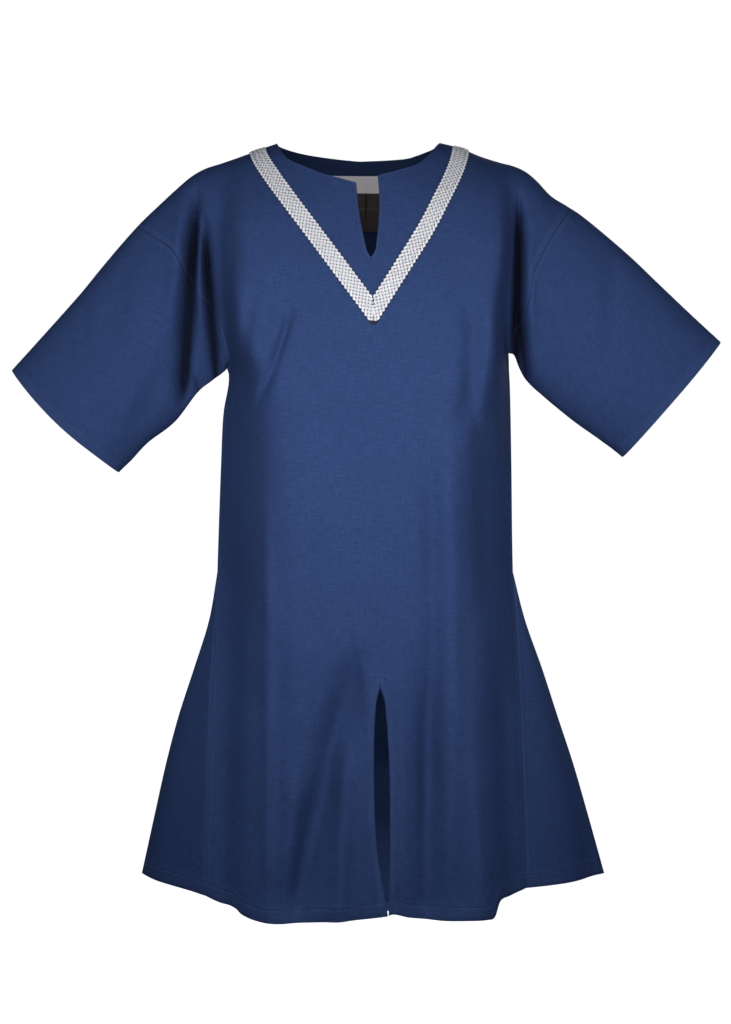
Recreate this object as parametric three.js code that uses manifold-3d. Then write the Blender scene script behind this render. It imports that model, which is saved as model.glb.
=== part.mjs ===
// Short-sleeved tunic, filled out as if worn.
// Millimetres, +Z up, the front faces -Y, the wearer's right arm is at -X.
// The origin is between the shoulders, at the height of the highest shoulder points.
//
// The tunic is two hollow tubes that cross: a boxy body and a pair of arms. The front and the
// back are each a depth behind or in front of the plane y = 0, worked out at any x and z. Every
// sewn piece is a grid of such points with a thin wall, so neighbours share their seam points.

import * as THREE from "three";
import Module from "manifold-3d";

const wasm = await Module();
wasm.setup();

// ---------------------------------------------------------------- sizes

const CLOTH = 1.5; // wall of the cotton cloth
const SEAM_GAP = 0.3; // clearance between two sewn pieces
const SEAM_DRAW = 0.17; // how far each is drawn back from their seam
const SLIVER = 0.04; // edges shorter than this are closed up after a cut
const BRAID = { thick: 1.6, wide: 20, lift: 0.3 };
const LABEL = { left: -51, right: 24, top: -27, bottom: -97, thick: 1, lift: 0.3 };

const NAVY = "#36476f";
const SILVER = "#b9bac0";
const LABEL_GREY = "#b7aeb1";

// Half the pieces across and the rows up each stretch of a panel.
const COUNT = { across: 11, upper: 12, waist: 5, gusset: 3, skirt: 6, sleeve: 7, gore: 5 };

// The body tube. The edges of the panels, which the side seams or the gore seams join, by height.
const PANEL_EDGE = [
  { z: 30, left: -206, right: 200 },
  { z: -150, left: -194, right: 190 },
  { z: -240, left: -184, right: 184 },
  { z: -284, left: -176, right: 184 },
  { z: -303, left: -175.5, right: 185 },
  { z: -340, left: -182, right: 186 },
  { z: -400, left: -185, right: 187 },
  { z: -545, left: -190, right: 189 },
  { z: -700, left: -194, right: 195 },
  { z: -850, left: -198, right: 199 },
  { z: -975, left: -201, right: 202 },
];

// Depths of the panels' flat middles and of their edges, in front of and behind y = 0.
const DEPTH = [
  { z: 30, front: 104, back: 104, frontSeam: 0, backSeam: 0 },
  { z: -60, front: 112, back: 114, frontSeam: 0, backSeam: 0 },
  { z: -150, front: 119, back: 123, frontSeam: 0, backSeam: 0 },
  { z: -270, front: 128, back: 127, frontSeam: 0, backSeam: 0 },
  { z: -400, front: 134, back: 128, frontSeam: 0, backSeam: 0 },
  { z: -545, front: 137, back: 130, frontSeam: 0, backSeam: 0 },
  { z: -606, front: 139, back: 132, frontSeam: 16, backSeam: 17 },
  { z: -700, front: 142, back: 134, frontSeam: 44, backSeam: 46 },
  { z: -850, front: 149, back: 140, frontSeam: 70, backSeam: 73 },
  { z: -975, front: 154, back: 146, frontSeam: 85, backSeam: 88 },
];

// How far out the flat middles reach, as shares of the half width.
const CORNER = [
  { z: 30, left: 0.78, right: 0.84 },
  { z: -60, left: 0.8, right: 0.88 },
  { z: -150, left: 0.84, right: 0.9 },
  { z: -215, left: 0.86, right: 0.87 },
  { z: -270, left: 0.83, right: 0.85 },
  { z: -310, left: 0.74, right: 0.8 },
  { z: -350, left: 0.66, right: 0.73 },
  { z: -450, left: 0.62, right: 0.67 },
  { z: -620, left: 0.61, right: 0.7 },
  { z: -800, left: 0.61, right: 0.72 },
  { z: -975, left: 0.6, right: 0.74 },
];
const CORNER_POWER = 5; // how sharply the flat middle turns into the sides

// The folded outer edge of each gore, from its top point to the hem.
const GORE_TIP = [
  { z: -545, left: -190, right: 189, y: 0 },
  { z: -606, left: -200.5, right: 204.5, y: 0 },
  { z: -668, left: -220, right: 226.5, y: 4 },
  { z: -730, left: -240.5, right: 247, y: 11 },
  { z: -791, left: -257, right: 267.5, y: 18 },
  { z: -852, left: -271, right: 285.5, y: 24 },
  { z: -935, left: -289.5, right: 309, y: 30 },
];

// Outline over the shoulders and arms, from the left cuff to the right one.
const TOP_OUTLINE = [
  { x: -453, z: -286 }, { x: -416.7, z: -246 }, { x: -365.4, z: -188.5 }, { x: -339.7, z: -157 },
  { x: -314, z: -126.5 }, { x: -288.4, z: -98 }, { x: -262.8, z: -73.5 }, { x: -237.2, z: -50 },
  { x: -222, z: -37.5 }, { x: -205, z: -28 }, { x: -186, z: -21.9 }, { x: -160, z: -13 },
  { x: -114.7, z: 3.4 }, { x: -80, z: 12 }, { x: -40, z: 14 }, { x: 20, z: 14 },
  { x: 60, z: 12 }, { x: 95.5, z: 4.6 }, { x: 121.8, z: -2.2 }, { x: 147.4, z: -12.7 },
  { x: 173, z: -20.6 }, { x: 190, z: -25 }, { x: 205, z: -32 }, { x: 219, z: -43.5 },
  { x: 237, z: -62.5 }, { x: 257.7, z: -75.7 }, { x: 275.6, z: -87.4 }, { x: 301.3, z: -108 },
  { x: 339.7, z: -141.2 }, { x: 378.2, z: -178 }, { x: 416.7, z: -214.6 }, { x: 455, z: -250 },
];

// Outline under each arm, from the body's middle past the armpit and the cuff.
const UNDER_OUTLINE = {
  left: [
    { x: 0, z: -80 }, { x: -100, z: -185 }, { x: -177.6, z: -284 }, { x: -196, z: -299 },
    { x: -214.7, z: -314 }, { x: -244.2, z: -352 }, { x: -280, z: -380 }, { x: -300.6, z: -402 },
    { x: -316, z: -417 }, { x: -460, z: -574 },
  ],
  right: [
    { x: 0, z: -90 }, { x: 100, z: -185 }, { x: 183.5, z: -264 }, { x: 190.4, z: -267 },
    { x: 196.8, z: -283 }, { x: 204.5, z: -297 }, { x: 218.6, z: -311.6 }, { x: 264.7, z: -350 },
    { x: 300.6, z: -375.7 }, { x: 329, z: -397.5 }, { x: 460, z: -518 },
  ],
};

// Ends of the sleeves; bow is how far the middle of a cuff stands out past its ends.
const ARMS = {
  left: { neckX: -114.7, armpit: { x: -177.6, z: -284 }, topX: -453, underX: -316, bow: 5 },
  right: { neckX: 95.5, armpit: { x: 183.5, z: -264 }, topX: 455, underX: 329, bow: 0.5 },
};
const ARM_DEPTH = { shoulder: 60, cuff: 46 }; // half the arm tube's thickness, front to back

// Seam of the sleeve on the panel's straight edge, from the armpit to the top of the arm.
const SLEEVE_SEAM = {
  left: [
    { up: 0, x: -177.6, z: -284 }, { up: 0.2, x: -184, z: -246 }, { up: 0.4, x: -196, z: -213 },
    { up: 0.6, x: -219, z: -186 }, { up: 0.8, x: -242, z: -143 }, { up: 1, x: -293, z: -109 },
  ],
  right: [
    { up: 0, x: 183.5, z: -264 }, { up: 0.2, x: 197, z: -236 }, { up: 0.4, x: 206, z: -200 },
    { up: 0.6, x: 213, z: -165 }, { up: 0.8, x: 232, z: -126 }, { up: 1, x: 262.5, z: -79 },
  ],
};

// Neck edges, from the left neck point to the right one. The front one is cut by the slit.
const FRONT_NECK = {
  left: [{ x: -114.7, z: 3.4 }, { x: -99.5, z: -22 }, { x: -77.5, z: -34 }, { x: -53, z: -44.5 },
    { x: -29, z: -52 }, { x: -13, z: -56.5 }],
  right: [{ x: 95.5, z: 4.6 }, { x: 79, z: -18.5 }, { x: 63.5, z: -31.5 }, { x: 36, z: -41 },
    { x: 25, z: -44 }, { x: 15.5, z: -47 }],
};
const BACK_NECK = {
  left: [{ x: -114.7, z: 3.4 }, { x: -91, z: -1 }, { x: -68, z: -4.5 }, { x: -42, z: -7.5 },
    { x: -22, z: -9.2 }, { x: -8.5, z: -10 }],
  right: [{ x: 95.5, z: 4.6 }, { x: 87, z: 1 }, { x: 69, z: -4 }, { x: 53, z: -7.6 },
    { x: 25, z: -9.3 }, { x: -8.5, z: -10 }],
};

// Centre line of the front, with the edges of its two slits.
const NECK_SLIT_END = -153.5;
const HEM_SLIT_END = -676.5;
const CENTRE = [
  { z: -44, left: -13, right: 15.5 },
  { z: -74, left: -10.5, right: 17.5 },
  { z: -104, left: -7, right: 17 },
  { z: -134, left: -1, right: 14 },
  { z: -153.5, left: 6.8, right: 6.8 },
  { z: -233, left: 9, right: 9 },
  { z: -450, left: 13.5, right: 13.5 },
  { z: -676.5, left: 17.8, right: 17.8 },
  { z: -704, left: 12.5, right: 24.5 },
  { z: -780, left: 10, right: 29.5 },
  { z: -868, left: 12.5, right: 30.5 },
  { z: -922, left: 20, right: 29.8 },
  { z: -962, left: 25.3, right: 28.6 },
];

// Height of the hem along x, for the front and the back.
const HEM = {
  front: [{ x: -201, z: -946.5 }, { x: -182, z: -952.5 }, { x: -168, z: -954.5 },
    { x: -160, z: -957.5 }, { x: -154, z: -962.5 }, { x: -140, z: -967.5 }, { x: -115, z: -971 },
    { x: -90, z: -970 }, { x: -60, z: -968 }, { x: -20, z: -966 }, { x: 26, z: -961 },
    { x: 34, z: -958.5 }, { x: 54, z: -962.5 }, { x: 80, z: -965.5 }, { x: 110, z: -966.5 },
    { x: 150, z: -966 }, { x: 159, z: -964 }, { x: 166, z: -947 }, { x: 180, z: -943 },
    { x: 202, z: -937 }],
  back: [{ x: -201, z: -946.5 }, { x: -150, z: -985 }, { x: 0, z: -1004 }, { x: 150, z: -983 },
    { x: 202, z: -937 }],
};
const HEM_LEVEL = -960; // height at which the hem's x are taken
const GORE_TOP = -545;
const GORE_HEM = -935;
const GORE_BELL = 1.25; // power of the gore's section, 1 for a sharp fold

// Braid along the neck: its centre line on each side, down to where both meet in a point.
const BRAID_LINE = {
  left: [{ x: -140.5, z: 6 }, { x: -134, z: -18 }, { x: -118.5, z: -45 }, { x: -96, z: -78 },
    { x: -61, z: -126 }, { x: 9.5, z: -222 }],
  right: [{ x: 123, z: 6 }, { x: 119, z: -18 }, { x: 110, z: -45 }, { x: 94.5, z: -78 },
    { x: 69.5, z: -126 }, { x: 9.5, z: -222 }],
};
const MITRE_X = 9.5;
const BRAID_POINT = -236; // lowest point of the rounded tip

// Folds: troughs have a negative rise. Each follows x over z through three points, is wide
// across, and fades at both ends.
const FRONT_FOLDS = [
  { top: -40, bottom: -320, x: [-213, -220, -226], wide: 13, rise: -24 },
  { top: -84, bottom: -320, x: [-205, -197, -192], wide: 12, rise: -16 },
  { top: -38, bottom: -280, x: [190, 189, 192], wide: 13, rise: -30 },
  { top: -110, bottom: -260, x: [-274, -309, -334], wide: 17, rise: -5 },
  { top: -130, bottom: -300, x: [309, 312, 300], wide: 15, rise: -6 },
  { top: -190, bottom: -370, x: [124, 134, 118], wide: 14, rise: -10 },
  { top: -270, bottom: -1010, x: [-125, -120, -122], wide: 15, rise: 4 },
  { top: -270, bottom: -940, x: [70, 78, 64], wide: 12, rise: -6 },
  { top: -270, bottom: -960, x: [95, 103, 90], wide: 16, rise: 8 },
  { top: -640, bottom: -1000, x: [-14, -56, -96], wide: 24, rise: -18 },
  { top: -700, bottom: -1010, x: [-24, -28, -34], wide: 16, rise: 8 },
  { top: -640, bottom: -1010, x: [66, 74, 70], wide: 18, rise: -14 },
];
const BACK_FOLDS = [
  { top: -60, bottom: -300, x: [-216, -214, -200], wide: 14, rise: -16 },
  { top: -60, bottom: -300, x: [206, 204, 194], wide: 14, rise: -16 },
  { top: -180, bottom: -700, x: [-70, -92, -104], wide: 20, rise: -7 },
  { top: -240, bottom: -1010, x: [-128, -130, -136], wide: 18, rise: 5 },
  { top: -190, bottom: -760, x: [62, 84, 96], wide: 20, rise: -7 },
  { top: -260, bottom: -1010, x: [126, 132, 138], wide: 18, rise: 5 },
  { top: -560, bottom: -1010, x: [-30, -36, -44], wide: 28, rise: -8 },
  { top: -600, bottom: -1010, x: [42, 50, 52], wide: 26, rise: -8 },
];

// ---------------------------------------------------------------- curves from the tables

// A smooth value between a table's rows: cubic pieces whose slopes come from the rows around.
function read(table, key, column, at) {
  const sign = Math.sign(table[1][key] - table[0][key]);
  const last = table.length - 1;
  let i = 0;
  while (i < last - 1 && (at - table[i + 1][key]) * sign > 0) i += 1;
  const slope = (a, b) => (table[b][column] - table[a][column]) / (table[b][key] - table[a][key]);
  const here = slope(i, i + 1);
  const before = i > 0 ? slope(i - 1, i + 1) : here;
  const after = i + 2 <= last ? slope(i, i + 2) : here;
  const span = table[i + 1][key] - table[i][key];
  const t = THREE.MathUtils.clamp((at - table[i][key]) / span, 0, 1);
  const value = table[i][column] * (2 * t ** 3 - 3 * t ** 2 + 1)
    + table[i + 1][column] * (3 * t ** 2 - 2 * t ** 3);
  return value + span * (before * (t ** 3 - 2 * t ** 2 + t) + after * (t ** 3 - t ** 2));
}

const armOf = (x) => (x < 0 ? ARMS.left : ARMS.right);
const topLine = (x) => read(TOP_OUTLINE, "x", "z", x);
const underLine = (x) => read(x < 0 ? UNDER_OUTLINE.left : UNDER_OUTLINE.right, "x", "z", x);

// ---------------------------------------------------------------- depth of the cloth

const FADE_IN = 0.3; // share of its length over which a fold grows
const FADE_OUT = 0.8; // share of its length from which it dies away

// One fold's rise at x and z.
function foldRise(fold, x, z) {
  const t = (fold.top - z) / (fold.top - fold.bottom);
  if (t <= 0 || t >= 1) return 0;
  const [a, b, c] = fold.x;
  const path = a * (1 - t) * (1 - 2 * t) + 4 * b * t * (1 - t) + c * t * (2 * t - 1);
  const lean = (a * (4 * t - 3) + 4 * b * (1 - 2 * t) + c * (4 * t - 1)) / (fold.top - fold.bottom);
  const away = (x - path) / Math.hypot(1, lean) / fold.wide;
  const fade = THREE.MathUtils.smoothstep(t, 0, FADE_IN)
    * (1 - THREE.MathUtils.smoothstep(t, FADE_OUT, 1));
  return fold.rise * Math.exp(-away * away) * fade;
}

// Depth of the arm tube: an ellipse between the outlines above and under the arm.
function armDepth(x, z) {
  const above = topLine(x) - z;
  const below = z - underLine(x);
  if (above <= 0 || below <= 0) return 0;
  const share = above / (above + below);
  const arm = armOf(x);
  const along = THREE.MathUtils.clamp((x - arm.armpit.x) / (arm.topX - arm.armpit.x), 0, 1);
  const half = THREE.MathUtils.lerp(ARM_DEPTH.shoulder, ARM_DEPTH.cuff, along);
  return half * 2 * Math.sqrt(share * (1 - share));
}

const CHEST_Z = -215; // below this the body no longer leans in towards the shoulders
const LEAN_IN = { front: { bend: 1.8, round: 0.58 }, back: { bend: 2.1, round: 0.5 } };

// Share of the full depth that the body has at x and z: 1 in the flat middle, 0 at its outline.
function bodyShare(x, z, side) {
  const left = read(PANEL_EDGE, "z", "left", z);
  const right = read(PANEL_EDGE, "z", "right", z);
  const across = (2 * x - left - right) / (right - left);
  const corner = read(CORNER, "z", across < 0 ? "left" : "right", z);
  const ramp = Math.max(0, 1 - Math.abs(across)) / (1 - corner);
  const share = ramp / (1 + ramp ** CORNER_POWER) ** (1 / CORNER_POWER);
  if (z <= CHEST_Z) return share;
  const up = THREE.MathUtils.clamp((z - CHEST_Z) / (topLine(x) - CHEST_Z), 0, 1);
  return share * (1 - up ** LEAN_IN[side].bend) ** LEAN_IN[side].round;
}

const JOIN_POWER = 4; // how closely the body tube and the arm tube run into each other
const FOLD_FADE = 20; // folds lose half their rise where the cloth is this near to y = 0

// The point of the front or back cloth at x and z.
function clothPoint(x, z, side) {
  const out = side === "front" ? -1 : 1;
  const seam = Math.max(0, read(DEPTH, "z", `${side}Seam`, z));
  const body = (read(DEPTH, "z", side, z) - seam) * bodyShare(x, z, side);
  const arm = armDepth(x, z);
  const depth = (body ** JOIN_POWER + arm ** JOIN_POWER) ** (1 / JOIN_POWER);
  const folds = side === "front" ? FRONT_FOLDS : BACK_FOLDS;
  const rise = folds.reduce((sum, fold) => sum + foldRise(fold, x, z), 0);
  return new THREE.Vector3(x, out * (seam + depth + (rise * depth) / (depth + FOLD_FADE)), z);
}

// ---------------------------------------------------------------- grids of the sewn pieces

const even = (count) => Array.from({ length: count + 1 }, (_, i) => i / count);
const crowded = (count) => even(count).map((t) => (1 - Math.cos(Math.PI * t)) / 2);
const polyAt = (line, t) => {
  const at = t * (line.length - 1);
  const i = Math.min(Math.floor(at), line.length - 2);
  return {
    x: THREE.MathUtils.lerp(line[i].x, line[i + 1].x, at - i),
    z: THREE.MathUtils.lerp(line[i].z, line[i + 1].z, at - i),
  };
};

// The seam of a sleeve, as far up as t, held to the top outline at its end.
function seamAt(hand, t) {
  const x = read(SLEEVE_SEAM[hand], "up", "x", t);
  const z = read(SLEEVE_SEAM[hand], "up", "z", t);
  const end = SLEEVE_SEAM[hand].at(-1);
  return { x, z: z + (topLine(end.x) - end.z) * t ** 3 };
}

// Columns of half a panel: t runs 0 at the outer edge to 1 at the centre line. The columns of the
// top row reach the neck point at NECK_SHARE.
const NECK_SHARE = 6 / COUNT.across;
function topAt(hand, neck, t) {
  if (t > NECK_SHARE) return polyAt(neck[hand], (t - NECK_SHARE) / (1 - NECK_SHARE));
  const x = THREE.MathUtils.lerp(SLEEVE_SEAM[hand].at(-1).x, ARMS[hand].neckX, t / NECK_SHARE);
  return { x, z: topLine(x) };
}

const BACK_STRAIGHT_Z = -400; // below this the back's middle column is at x = 0

// x of the middle of a panel at z, or of one edge of the front's slits.
function centreAt(side, hand, z) {
  if (side === "back") {
    return THREE.MathUtils.lerp(BACK_NECK.left.at(-1).x, 0, Math.min(1, z / BACK_STRAIGHT_Z));
  }
  const isOpen = z > NECK_SLIT_END || z < HEM_SLIT_END;
  return read(CENTRE, "z", isOpen ? hand : "left", z);
}

// Upper half panel, from the armpit row up to the shoulder and neck: a patch between four edges.
function upperHalf(side, hand) {
  const neck = side === "front" ? FRONT_NECK : BACK_NECK;
  const neckEnd = polyAt(neck[hand], 1);
  const rowZ = (ARMS.left.armpit.z + ARMS.right.armpit.z) / 2;
  const slitShare = side === "front" ? 0.5 : 1;
  const slitZ = side === "front" ? NECK_SLIT_END : neckEnd.z;
  const centreZ = (v) => (v < slitShare
    ? THREE.MathUtils.lerp(rowZ, slitZ, v / slitShare)
    : THREE.MathUtils.mapLinear(v, slitShare, 1, slitZ, neckEnd.z));
  const armpit = ARMS[hand].armpit;
  const middle = { x: centreAt(side, hand, rowZ), z: rowZ };
  const outerTop = topAt(hand, neck, 0);
  return crowded(COUNT.upper).map((v) => even(COUNT.across).map((t) => {
    const reach = 1 - Math.cos((t * Math.PI) / 2);
    const low = {
      x: THREE.MathUtils.lerp(armpit.x, middle.x, reach),
      z: THREE.MathUtils.lerp(armpit.z, middle.z, reach),
    };
    const high = topAt(hand, neck, t);
    const edge = seamAt(hand, v);
    const inner = { x: centreAt(side, hand, centreZ(v)), z: centreZ(v) };
    if (v === 1) Object.assign(inner, neckEnd);
    const blend = (key) => THREE.MathUtils.lerp(low[key], high[key], v)
      + (1 - t) * (edge[key] - THREE.MathUtils.lerp(armpit[key], outerTop[key], v))
      + t * (inner[key] - THREE.MathUtils.lerp(middle[key], neckEnd[key], v));
    return clothPoint(blend("x"), blend("z"), side);
  }));
}

// Lower half panel, from the armpit row down to the hem, in stretches between fixed heights.
function lowerHalf(side, hand, armpitRow) {
  const stretches = [
    { count: COUNT.waist, from: null, to: GORE_TOP },
    { count: COUNT.gusset, from: GORE_TOP, to: HEM_SLIT_END },
    { count: COUNT.skirt, from: HEM_SLIT_END, to: null },
  ];
  const rows = [armpitRow];
  for (const { count, from, to } of stretches) {
    for (const down of even(count).slice(1)) {
      rows.push(even(COUNT.across).map((t, column) => {
        const reach = 1 - Math.cos((t * Math.PI) / 2);
        const start = from ?? armpitRow[column].z;
        const xAt = (z) => THREE.MathUtils.lerp(
          read(PANEL_EDGE, "z", hand, z),
          centreAt(side, hand, z),
          reach,
        );
        const end = to ?? read(HEM[side], "x", "z", xAt(HEM_LEVEL));
        const z = THREE.MathUtils.lerp(start, end, down);
        return clothPoint(xAt(z), z, side);
      }));
    }
  }
  return rows;
}

// Sleeve: from its seam on the panels to the cuff, round from the armpit over the front, the top
// and the back.
function sleeveGrid(hand) {
  const { topX, underX, bow } = ARMS[hand];
  const around = crowded(COUNT.upper);
  const loop = [
    ...around.map((v) => ({ v, side: "front" })),
    ...around.slice(1, -1).reverse().map((v) => ({ v, side: "back" })),
    { v: 0, side: "front" },
  ];
  return even(COUNT.sleeve).map((out) => loop.map(({ v, side }) => {
    const seam = seamAt(hand, v);
    const seamShare = (topLine(seam.x) - seam.z) / (topLine(seam.x) - underLine(seam.x));
    const cuffX = THREE.MathUtils.lerp(underX, topX, v) + bow * Math.sign(topX) * Math.sin(Math.PI * v);
    const x = THREE.MathUtils.lerp(seam.x, cuffX, out);
    const share = THREE.MathUtils.lerp(THREE.MathUtils.clamp(seamShare, 0, 1), 1 - v, out);
    const z = out === 0 ? seam.z : THREE.MathUtils.lerp(topLine(x), underLine(x), share);
    return clothPoint(x, z, side);
  }));
}

// Gore: a triangle let into the side, folded outwards along its middle.
function goreGrid(hand, frontRows, backRows) {
  const rows = frontRows.length - 1;
  return frontRows.map((front, i) => {
    const back = backRows[i];
    const tipZ = THREE.MathUtils.mapLinear(front.z, GORE_TOP, frontRows[rows].z, GORE_TOP, GORE_HEM);
    const tip = new THREE.Vector3(read(GORE_TIP, "z", hand, tipZ), read(GORE_TIP, "z", "y", tipZ), tipZ);
    return crowded(2 * COUNT.gore).map((t) => {
      const turn = 2 * t - 1;
      const seam = turn < 0 ? front : back;
      const reach = i === 0 ? 0 : 1 - Math.abs(turn) ** GORE_BELL;
      return new THREE.Vector3(
        THREE.MathUtils.lerp(seam.x, tip.x, reach),
        THREE.MathUtils.lerp(tip.y, seam.y, Math.abs(turn)),
        THREE.MathUtils.lerp(seam.z, tip.z, reach),
      );
    });
  });
}

// ---------------------------------------------------------------- from grids to thin walls

// Points less than about a micron apart have one key. The odd number keeps round values off ties.
const KEYS_PER_MM = 997;
const pointKey = (p) => p.toArray().map((value) => Math.round(value * KEYS_PER_MM)).join(" ");

// One surface from grids whose equal points are shared. Faces look outwards; flip turns them.
function surfaceOf(grids, flip = false) {
  const points = [];
  const known = new Map();
  const indexOf = (p) => {
    const key = pointKey(p);
    if (!known.has(key)) {
      known.set(key, points.length);
      points.push(p.clone());
    }
    return known.get(key);
  };
  const faces = [];
  const addFace = (a, b, c, turned) => {
    if (a === b || b === c || c === a) return;
    faces.push(turned ? [a, c, b] : [a, b, c]);
  };
  for (const { grid, mirrored } of grids) {
    const turned = flip !== Boolean(mirrored);
    for (let i = 0; i + 1 < grid.length; i += 1) {
      for (let j = 0; j + 1 < grid[i].length; j += 1) {
        const [a, b] = [indexOf(grid[i][j]), indexOf(grid[i][j + 1])];
        const [c, d] = [indexOf(grid[i + 1][j]), indexOf(grid[i + 1][j + 1])];
        addFace(a, b, d, turned);
        addFace(a, d, c, turned);
      }
    }
  }
  return { points, faces };
}

// Adds to a surface the normal of each point, its open edges, and for each point on such an edge
// the way into the cloth.
function measure(surface) {
  const { points, faces } = surface;
  surface.normals = points.map(() => new THREE.Vector3());
  surface.inward = points.map(() => new THREE.Vector3());
  const edges = new Map();
  for (const face of faces) {
    const [a, b, c] = face.map((i) => points[i]);
    const normal = b.clone().sub(a).cross(c.clone().sub(a));
    const centre = a.clone().add(b).add(c).divideScalar(3);
    face.forEach((i, k) => {
      surface.normals[i].add(normal);
      surface.inward[i].add(centre.clone().sub(points[i]));
      const next = face[(k + 1) % 3];
      edges.set(`${i} ${next}`, [i, next]);
    });
  }
  surface.normals.forEach((normal) => normal.normalize());
  surface.openEdges = [...edges.values()].filter(([i, j]) => !edges.has(`${j} ${i}`));
  return surface;
}

// Where pieces meet, gives their points one shared normal and draws each back from the seam.
function sew(surfaces) {
  const meetings = new Map();
  for (const surface of surfaces) {
    for (const i of new Set(surface.openEdges.flat())) {
      const key = pointKey(surface.points[i]);
      meetings.set(key, [...(meetings.get(key) ?? []), { surface, i }]);
    }
  }
  for (const meeting of meetings.values()) {
    if (meeting.length < 2) continue;
    const normal = new THREE.Vector3();
    const middle = new THREE.Vector3();
    for (const { surface, i } of meeting) {
      normal.add(surface.normals[i]);
      middle.add(surface.inward[i].clone().normalize().divideScalar(meeting.length));
    }
    normal.normalize();
    for (const { surface, i } of meeting) {
      const away = surface.inward[i].clone().normalize().sub(middle).projectOnPlane(normal);
      surface.points[i].addScaledVector(away.normalize(), SEAM_DRAW);
      surface.normals[i].copy(normal);
    }
  }
}

// A closed wall between two offsets of a surface along its normals, as a solid.
function wallOf({ points, faces, normals, openEdges }, outer, inner) {
  const shift = (offset) => points.flatMap(
    (p, i) => p.clone().addScaledVector(normals[i], offset).toArray(),
  );
  const count = points.length;
  const triangles = [];
  for (const [a, b, c] of faces) {
    triangles.push(a, b, c, a + count, c + count, b + count);
  }
  for (const [a, b] of openEdges) {
    triangles.push(b, a, a + count, b, a + count, b + count);
  }
  return new wasm.Manifold(new wasm.Mesh({
    numProp: 3,
    vertProperties: new Float32Array([...shift(outer), ...shift(inner)]),
    triVerts: new Uint32Array(triangles),
  }));
}

// A mesh from a solid.
function meshOf(solid, name, color, roughness) {
  const { vertProperties, triVerts } = solid.getMesh();
  const geometry = new THREE.BufferGeometry();
  geometry.setAttribute("position", new THREE.BufferAttribute(new Float32Array(vertProperties), 3));
  geometry.setIndex(new THREE.BufferAttribute(new Uint32Array(triVerts), 1));
  const mesh = new THREE.Mesh(geometry, new THREE.MeshStandardMaterial({ color, roughness, metalness: 0 }));
  mesh.name = name;
  return mesh;
}

// A straight cutter: an outline in x and z, drawn out along y.
function cutter(outline, yFrom, yTo) {
  const shape = new THREE.Shape(outline.map(({ x, z }) => new THREE.Vector2(x, z)));
  const geometry = new THREE.ExtrudeGeometry(shape, { depth: yTo - yFrom, bevelEnabled: false });
  geometry.rotateX(Math.PI / 2);
  geometry.translate(0, yTo, 0);
  const position = geometry.getAttribute("position");
  const points = [];
  const known = new Map();
  const index = [];
  for (let i = 0; i < position.count; i += 1) {
    const p = new THREE.Vector3().fromBufferAttribute(position, i);
    const key = pointKey(p);
    if (!known.has(key)) {
      known.set(key, points.length);
      points.push(p);
    }
    index.push(known.get(key));
  }
  return new wasm.Manifold(new wasm.Mesh({
    numProp: 3,
    vertProperties: new Float32Array(points.flatMap((p) => p.toArray())),
    triVerts: new Uint32Array(index),
  }));
}

// ---------------------------------------------------------------- the pieces

const halves = {};
for (const side of ["front", "back"]) {
  for (const hand of ["left", "right"]) {
    const upper = upperHalf(side, hand);
    halves[side + hand] = { upper, lower: lowerHalf(side, hand, upper[0]) };
  }
}

// A panel is its four quarters; the armpit rows are the same points.
function panelSurface(side) {
  const grids = [];
  for (const hand of ["left", "right"]) {
    const { upper, lower } = halves[side + hand];
    const isTurned = hand === "right";
    grids.push({ grid: upper, mirrored: isTurned }, { grid: lower, mirrored: !isTurned });
  }
  return surfaceOf(grids, side === "back");
}

const goreStart = COUNT.waist;
const seamRows = (side, hand) => halves[side + hand].lower.slice(goreStart).map((row) => row[0]);
const surfaces = {
  front: panelSurface("front"),
  back: panelSurface("back"),
};
for (const hand of ["left", "right"]) {
  const isRight = hand === "right";
  surfaces[`sleeve_${hand}`] = surfaceOf([{ grid: sleeveGrid(hand) }], isRight);
  const gore = goreGrid(hand, seamRows("front", hand), seamRows("back", hand));
  surfaces[`gore_${hand}`] = surfaceOf([{ grid: gore }], isRight);
}
Object.values(surfaces).forEach(measure);
sew(Object.values(surfaces));

// Braid: the front's own surface, moved out, within a band along the braid's centre line.
function braidOutline(hand) {
  const line = BRAID_LINE[hand];
  const half = BRAID.wide / 2;
  const edge = (sign) => line.map((p, i) => {
    const before = line[Math.max(0, i - 1)];
    const after = line[Math.min(line.length - 1, i + 1)];
    const along = new THREE.Vector2(after.x - before.x, after.z - before.z).normalize();
    return { x: p.x - sign * half * along.y, z: p.z + sign * half * along.x };
  });
  return [...edge(1), ...edge(-1).reverse()];
}
const braidSource = wallOf(surfaces.front, BRAID.lift + BRAID.thick, BRAID.lift);
const BRAID_ROOM = { side: 300, top: 60, out: -220 }; // past the braid on all sides
function mitreHalf(hand) {
  const sign = hand === "left" ? -1 : 1;
  const inner = MITRE_X + (sign * SEAM_GAP) / 2;
  const outer = sign * BRAID_ROOM.side;
  return [{ x: outer, z: BRAID_ROOM.top }, { x: inner, z: BRAID_ROOM.top }, { x: inner, z: BRAID_POINT },
    { x: outer, z: BRAID_POINT }];
}
function clockwise(outline) {
  const area = THREE.ShapeUtils.area(outline.map((p) => new THREE.Vector2(p.x, p.z)));
  return area < 0 ? [...outline].reverse() : outline;
}
function braidOf(hand) {
  const band = cutter(clockwise(braidOutline(hand)), BRAID_ROOM.out, -1);
  const half = cutter(clockwise(mitreHalf(hand)), BRAID_ROOM.out - 1, 0);
  return braidSource.intersect(band).intersect(half);
}

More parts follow.
